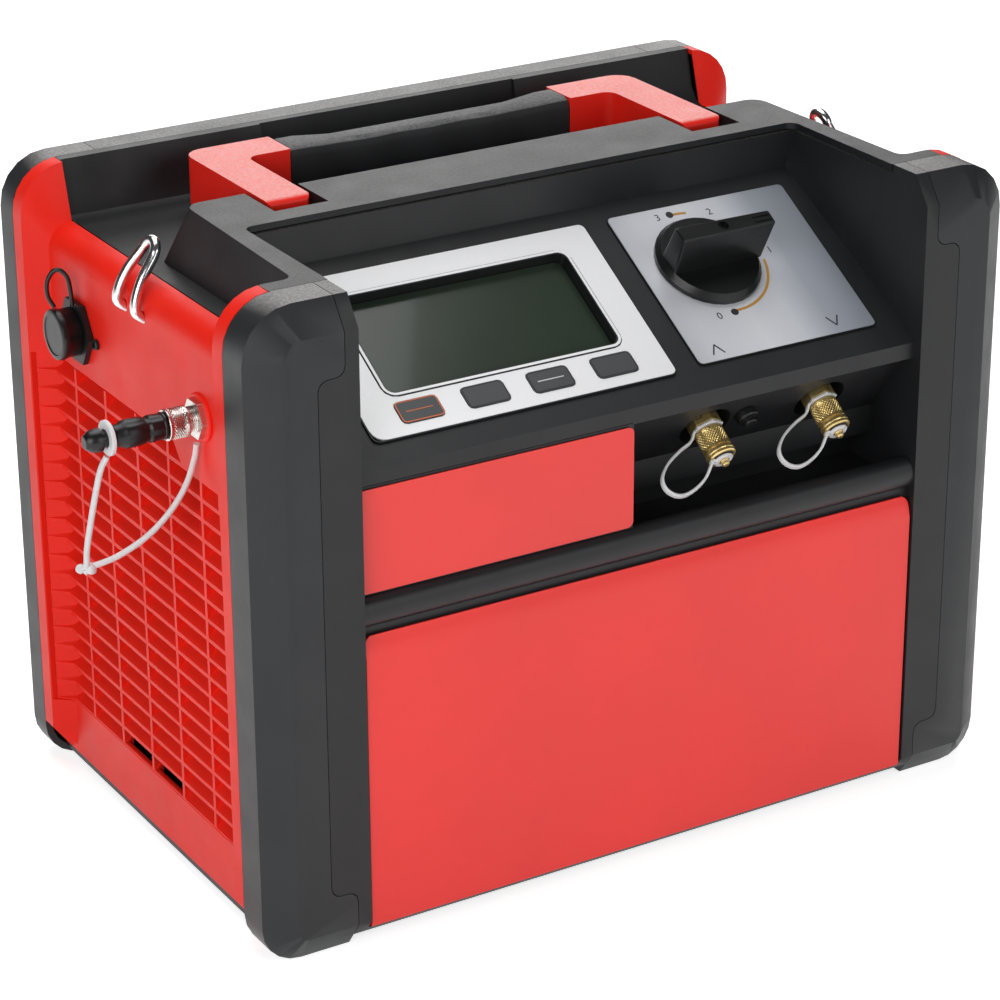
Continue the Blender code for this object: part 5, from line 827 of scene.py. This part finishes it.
def port_details(name, x):
    """A knurled cap with its end disc, and the nylon strap that keeps it"""
    place = port_place(x)
    body = f"{name}_cap"
    start = CAP_START
    end = start + CAP_LENGTH
    knurl_end = end - CAP_BAND
    sleeve = knurled(CAP_RADIUS, start + 0.0006, knurl_end, 26, 6, CAP_KNURL_DEPTH, place)
    ends = turned([(NOSE_RADIUS + GAP, start), (CAP_RADIUS - 0.0006, start),
                   (CAP_RADIUS - 0.0001, start + 0.0006)], place)
    rim = turned([
        (CAP_RADIUS - 0.0001, knurl_end), (CAP_RADIUS - 0.0009, knurl_end + 0.0003),
        (CAP_RADIUS - 0.0009, knurl_end + 0.001), (CAP_RADIUS, knurl_end + 0.0013),
        (RIM_RADIUS, knurl_end + 0.0018), (RIM_RADIUS, knurl_end + 0.0026),
        (CAP_RADIUS - 0.0001, knurl_end + 0.003),
        (CAP_RADIUS - 0.0001, knurl_end + 0.0033), (RIM_RADIUS - 0.0001, knurl_end + 0.0037),
        (RIM_RADIUS - 0.0001, end - 0.0005), (RIM_RADIUS - 0.0006, end),
        (CAP_RADIUS - 0.0013, end), (CAP_RADIUS - 0.0013, end - 0.0006), (STUD_RADIUS, end - 0.0006),
        (STUD_RADIUS, end + 0.0019), (STUD_RADIUS - 0.0003, end + 0.0021),
        (STUD_RADIUS - 0.0003, end + 0.0036),
        (STUD_RADIUS - 0.0008, end + 0.0042), (0, end + 0.0042),
    ], place)
    inside = turned([(NOSE_RADIUS + GAP, start), (NOSE_RADIUS + GAP, start + 0.0104), (0, start + 0.0104)],
                    place, 24)
    cap = finish_mesh(f"{name}_knurled_cap", *gather([sleeve, ends, rim, inside]), "brass", body, 22)
    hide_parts(f"{name}_cap")
    turned_piece(f"{name}_cap_disc", [
        (STUD_RADIUS + 0.0001, end - 0.0005), (CAP_RADIUS - 0.0014, end - 0.0005),
        (CAP_RADIUS - 0.0014, end + 0.0001),
        (CAP_RADIUS - 0.0019, end + 0.00025), (STUD_RADIUS + 0.0001, end + 0.00025),
    ], place, "rubber", body, closed=True)
    bottom = start - GAP - STRAP_THICKNESS / 2
    top = end + GAP + STRAP_THICKNESS / 2
    half = STRAP_THICKNESS / 2
    collar = place @ Matrix.Rotation(math.radians(30), 4, "Z")
    ring = turned([
        (NOSE_RADIUS + 0.0008, bottom - half), (0.0079, bottom - half), (0.0082, bottom - half + 0.0003),
        (0.0082, bottom + half - 0.0003), (0.0079, bottom + half), (NOSE_RADIUS + 0.0008, bottom + half),
    ], collar, 6, True)
    points = [place @ Vector((-0.0055, 0, bottom)), place @ Vector((-0.0072, 0, bottom))]
    points += [case(x + across, y, z) for across, y, z in STRAP_LOOP]
    points += [place @ Vector((-0.0062, 0, top)), place @ Vector((-0.0045, 0, top))]
    strap = band(smooth_route(points), place.to_3x3() @ Vector((0, 1, 0)), 0.0029, 0.0013)
    piece = finish_mesh(f"{name}_nylon_strap", *gather([ring, strap]), "nylon", "case")
    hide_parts(f"{name}_cap_strap")
    loop = turned([
        (STUD_RADIUS + GAP, top - half), (STUD_RADIUS + 0.0022, top - half),
        (STUD_RADIUS + 0.0026, top - half + 0.0004),
        (STUD_RADIUS + 0.0026, top + half - 0.0004), (STUD_RADIUS + 0.0022, top + half),
        (STUD_RADIUS + GAP, top + half),
    ], place, 32, True)
    tab = prism(rounded(-0.0072, -0.00135, -STUD_RADIUS - 0.0012, 0.00135, 0.0004), top - half + 0.0001,
                top + half - 0.0001, place)
    piece = finish_mesh(f"{name}_strap_end", *gather([loop, tab]), "nylon", body)
    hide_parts(f"{name}_cap_ring")


def connector_details():
    """Boss, thread, knurled ring, plug and tether of the sensor connector on the left side"""
    place = left_place(SOCKET_Y, SOCKET_Z)
    turned_piece("socket_boss", [(0, 0.0001), (0.0112, 0.0001), (0.0112, 0.0009), (0.0106, 0.0014),
                                 (0, 0.0014)],
                 place, "red", "case")
    thread_end = RING_START - 0.0004
    thread = threaded(THREAD_RADIUS, THREAD_START, thread_end, THREAD_PITCH, THREAD_DEPTH, place)
    finish_mesh("socket_thread", *thread, "nickel", "case")
    end = RING_START + RING_LENGTH
    radius = RING_RADIUS
    sleeve = knurled(radius, RING_START + 0.0014, end - 0.0012, 24, 7, RING_KNURL_DEPTH, place)
    rims = turned([
        (RING_BORE, RING_START), (radius - 0.0004, RING_START), (radius, RING_START + 0.0004),
        (radius, RING_START + 0.001), (radius - 0.0001, RING_START + 0.0014),
    ], place)
    cuff = turned([
        (radius - 0.0001, end - 0.0012), (radius, end - 0.0009), (radius, end - 0.0003),
        (radius - 0.0003, end),
        (0.0051, end), (0.0051, end - 0.003), (RING_BORE, end - 0.003), (RING_BORE, RING_START),
    ], place)
    ring = finish_mesh("coupling_ring", *gather([sleeve, rims, cuff]), "nickel", "plug_ring", 22)
    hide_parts("plug_ring")
    start = end + GAP
    body_end = start + PLUG_LENGTH
    neck = body_end + NECK_LENGTH
    tip = neck + KNOB_END_LENGTH
    profile = [
        (0, start - 0.002), (0.0046, start - 0.002), (0.0046, start), (0.0058, start),
        (0.0062, start + 0.0004),
        (0.0062, start + 0.0012), (0.0058, start + 0.0016), (0.006, start + 0.003),
        (0.0062, start + 0.0075),
        (0.0055, start + 0.0086), (0.0056, start + 0.0098), (0.0064, start + 0.0112),
        (0.0065, start + 0.0185),
        (0.006, start + 0.0198), (0.0052, start + 0.0212), (0.0048, body_end), (0.0039, body_end + 0.0004),
        (0.00385, neck - 0.0002), (0.0052, neck), (0.0054, neck + 0.0012), (0.0048, neck + 0.0048),
        (0.0032, tip - 0.0004), (0.0026, tip), (0, tip),
    ]
    vertices, faces = turned(profile, place, 48)
    for index, vertex in enumerate(vertices):
        local = place.inverted() @ vertex
        if start + 0.002 < local.z < start + 0.0082 or start + 0.0105 < local.z < start + 0.019:
            angle = math.atan2(local.y, local.x)
            dent = 1 - 0.07 * max(0.0, math.cos(angle * 6)) ** 2
            vertices[index] = place @ Vector((local.x * dent, local.y * dent, local.z))
    plug = finish_mesh("plug_shell", vertices, faces, "gloss", "plug", 30)
    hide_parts("plug_body")
    low = body_end + GAP + 0.0015
    ring = turned([(0.00415, low), (0.0074, low), (0.008, low + 0.0005), (0.008, low + 0.0017),
                   (0.0074, low + 0.0022),
                   (0.00415, low + 0.0022)], place, 40, True)
    piece = finish_mesh("tether_loop", *ring, "nylon", "plug")
    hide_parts("tether_ring")
    ring_x = -SIDE - end - GAP - PLUG_LENGTH - 0.0037
    down = [(ring_x, SOCKET_Y, SOCKET_Z - 0.0086), (-0.2384, 0.072, 0.2285), (-0.2408, 0.0745, 0.2145),
            (-0.2423, 0.0775, 0.2009), (-0.2429, 0.081, 0.1886), (-0.2425, 0.0835, 0.1802),
            (-0.2428, 0.0875, 0.1769),
            (-0.2428, 0.0905, 0.1762)]
    back = [(-0.2432, 0.0845, 0.1762), (-0.2415, 0.084, 0.1779), (-0.2398, 0.084, 0.1788),
            (-0.2281, 0.083, 0.1811),
            (-0.2143, 0.0805, 0.1885), (-0.2036, 0.078, 0.199), (-0.1965, 0.0755, 0.211),
            (-0.193, 0.073, 0.2238),
            (-0.1925, SOCKET_Y, SOCKET_Z - 0.0118)]
    strands = [tube(smooth_route([case(*point) for point in points]), TETHER_RADIUS)
               for points in (down, back)]
    knot = [case(-0.2427 + step * 0.0009, 0.0838 + step * 0.0002,
                 0.1808 - step * 0.0011) for step in range(6)]
    strands.append(tube(knot, [0.0008, 0.0021, 0.0026, 0.0026, 0.0021, 0.0008]))
    tail = [case(-0.2429 - step * 0.0001, 0.0868 + step * 0.001,
                 0.1772 - step * 0.0003) for step in range(5)]
    strands.append(tube(tail, [0.0012, 0.002, 0.0023, 0.002, 0.0009]))
    piece = finish_mesh("nylon_tether", *gather(strands), "nylon", "case")
    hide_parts("plug_tether")


def dust_cap_details():
    """The dust cap, its strap, and a screw of the flange that it closes"""
    place = left_place(FLANGE_Y, FLANGE_Z)
    low = FLANGE_THICKNESS + GAP
    high = FLANGE_THICKNESS + DUST_CAP_LENGTH
    outer = DUST_CAP_RADIUS
    cap = turned([
        (outer - 0.0016, low), (outer - 0.0008, low), (outer - 0.0006, low + 0.0004),
        (outer - 0.0006, high - 0.0044),
        (outer - 0.0002, high - 0.0038), (outer, high - 0.003), (outer, high - 0.0012),
        (outer - 0.0004, high - 0.0004),
        (outer - 0.0012, high), (outer - 0.0024, high), (outer - 0.0028, high - 0.0004), (0, high - 0.0004),
        (0, high - 0.0022), (outer - 0.0016, high - 0.0022),
    ], place, 56, True)
    piece = finish_mesh("dust_cap_shell", *cap, "gloss", "dust_cap")
    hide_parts("dust_cap")
    x = -SIDE - FLANGE_THICKNESS
    rim = x - DUST_CAP_LENGTH
    top = FLANGE_Z + DUST_CAP_RADIUS
    points = [
        (x - 0.0016, FLANGE_Y - 0.0035, top + 0.0018), (x - 0.0022, FLANGE_Y - 0.004, top + 0.009),
        (x - 0.003, FLANGE_Y - 0.003, top + 0.0155), (x - 0.0055, FLANGE_Y - 0.001, top + 0.019),
        (rim + 0.002, FLANGE_Y + 0.0005, top + 0.0185), (rim - 0.001, FLANGE_Y + 0.001, top + 0.0135),
        (rim - 0.001, FLANGE_Y + 0.001, top + 0.007), (rim + 0.0014, FLANGE_Y, top + 0.0014),
    ]
    route = smooth_route([case(*point) for point in points])
    piece = finish_mesh("rubber_loop", *tube(route, DUST_STRAP_RADIUS), "gloss", "case")
    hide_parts("dust_cap_strap")
    screw = left_place(SCREW_Y, SCREW_Z)
    head = turned([(0, 0.0001), (0.0026, 0.0001), (0.0026, 0.0016), (0.0022, 0.0021), (0.0014, 0.0021)],
                  screw, 24)
    hexagon = turned([(0.0014, 0.0021), (0.00135, 0.0008), (0, 0.0008)], screw, 6)
    finish_mesh("flange_screw", *gather([head, hexagon]), "black", "case")


def strap_eyes():
    """The bent wire eyes, hairpins whose legs close in toward their loops"""
    legs = [((SIDE - 0.0085, DECK - 0.0195), 0.0094), ((SIDE + 0.0015, DECK - 0.0128), 0.0094),
            ((SIDE + 0.0034, DECK - 0.009), 0.0093), ((SIDE + 0.0016, DECK - 0.0025), 0.0087),
            ((SIDE - 0.0022, DECK + 0.0045), 0.0076), ((SIDE - 0.008, DECK + 0.0118), EYE_LOOP)]
    start, top = Vector((SIDE - 0.008, DECK + 0.0118)), Vector((SIDE - 0.0113, DECK + 0.0175))
    for side, name, lean in ((-1, "left", 0.0), (1, "right", RIGHT_EYE_LEAN)):
        leg = [Vector((side * (place[0] + lean * max(0.0, place[1] - EYE_FOOT)), EYE_Y - spread, place[1]))
               for place, spread in legs]
        loop = []
        for step in range(1, 6):
            angle = math.pi * step / 6
            spot = start.lerp(top, math.sin(angle))
            across = side * (spot.x + lean * (spot.y - EYE_FOOT))
            loop.append(Vector((across, EYE_Y - EYE_LOOP * math.cos(angle), spot.y)))
        back = [Vector((point.x, 2 * EYE_Y - point.y, point.z)) for point in reversed(leg)]
        route = smooth_route([case(*point) for point in leg + loop + back], 5)
        piece = finish_mesh(f"chrome_eye_{name}", *tube(route, EYE_WIRE, 20), "chrome", "case")
        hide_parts(f"strap_eye_{name}")


# Floor and lights
def white_floor():
    bpy.ops.mesh.primitive_plane_add(size=FLOOR_SIZE, location=(0, 0, -FLOOR_DROP))
    floor = bpy.context.object
    floor.name = "studio_floor"
    material = bpy.data.materials.new("studio_white")
    material.use_nodes = True
    nodes = material.node_tree.nodes
    links = material.node_tree.links
    nodes.clear()
    output = nodes.new("ShaderNodeOutputMaterial")
    diffuse = nodes.new("ShaderNodeBsdfDiffuse")
    diffuse.inputs["Color"].default_value = (FLOOR_TONE, FLOOR_TONE, FLOOR_TONE, 1)
    glow = nodes.new("ShaderNodeEmission")
    path = nodes.new("ShaderNodeLightPath")
    seen = nodes.new("ShaderNodeMath")
    seen.operation = "MAXIMUM"
    scale = nodes.new("ShaderNodeMath")
    scale.operation = "MULTIPLY"
    scale.inputs[1].default_value = FLOOR_GLOW
    both = nodes.new("ShaderNodeAddShader")
    links.new(path.outputs["Is Camera Ray"], seen.inputs[0])
    links.new(path.outputs["Is Glossy Ray"], seen.inputs[1])
    links.new(seen.outputs[0], scale.inputs[0])
    links.new(scale.outputs[0], glow.inputs["Strength"])
    links.new(diffuse.outputs[0], both.inputs[0])
    links.new(glow.outputs[0], both.inputs[1])
    links.new(both.outputs[0], output.inputs["Surface"])
    floor.data.materials.append(material)


def white_world():
    world = bpy.data.worlds.new("studio")
    world.use_nodes = True
    bpy.context.scene.world = world
    nodes = world.node_tree.nodes
    links = world.node_tree.links
    background = nodes["Background"]
    path = nodes.new("ShaderNodeLightPath")
    first = nodes.new("ShaderNodeMath")
    first.operation = "MAXIMUM"
    second = nodes.new("ShaderNodeMath")
    second.operation = "MAXIMUM"
    blend = nodes.new("ShaderNodeMapRange")
    blend.inputs["To Min"].default_value = WORLD_LIGHT
    blend.inputs["To Max"].default_value = 1.0
    links.new(path.outputs["Is Camera Ray"], first.inputs[0])
    links.new(path.outputs["Is Glossy Ray"], first.inputs[1])
    links.new(first.outputs[0], second.inputs[0])
    links.new(path.outputs["Is Transmission Ray"], second.inputs[1])
    links.new(second.outputs[0], blend.inputs["Value"])
    links.new(blend.outputs["Result"], background.inputs["Strength"])


def softbox(name, spot, aim, size, power):
    data = bpy.data.lights.new(name, "AREA")
    data.shape = "SQUARE"
    data.size = size
    data.energy = power
    lamp = bpy.data.objects.new(name, data)
    lamp.location = spot
    lamp.rotation_euler = (Vector(aim) - Vector(spot)).to_track_quat("-Z", "Y").to_euler()
    bpy.context.scene.collection.objects.link(lamp)


place_camera()
dress_nodes()
dial_marks()
knob_ribs()
panel_trim()
for port_name, port_x in PORTS.items():
    port_details(port_name, port_x)
connector_details()
dust_cap_details()
strap_eyes()
white_floor()
white_world()
for softbox_settings in SOFTBOXES:
    softbox(*softbox_settings)
bpy.context.scene.view_settings.view_transform = "Standard"
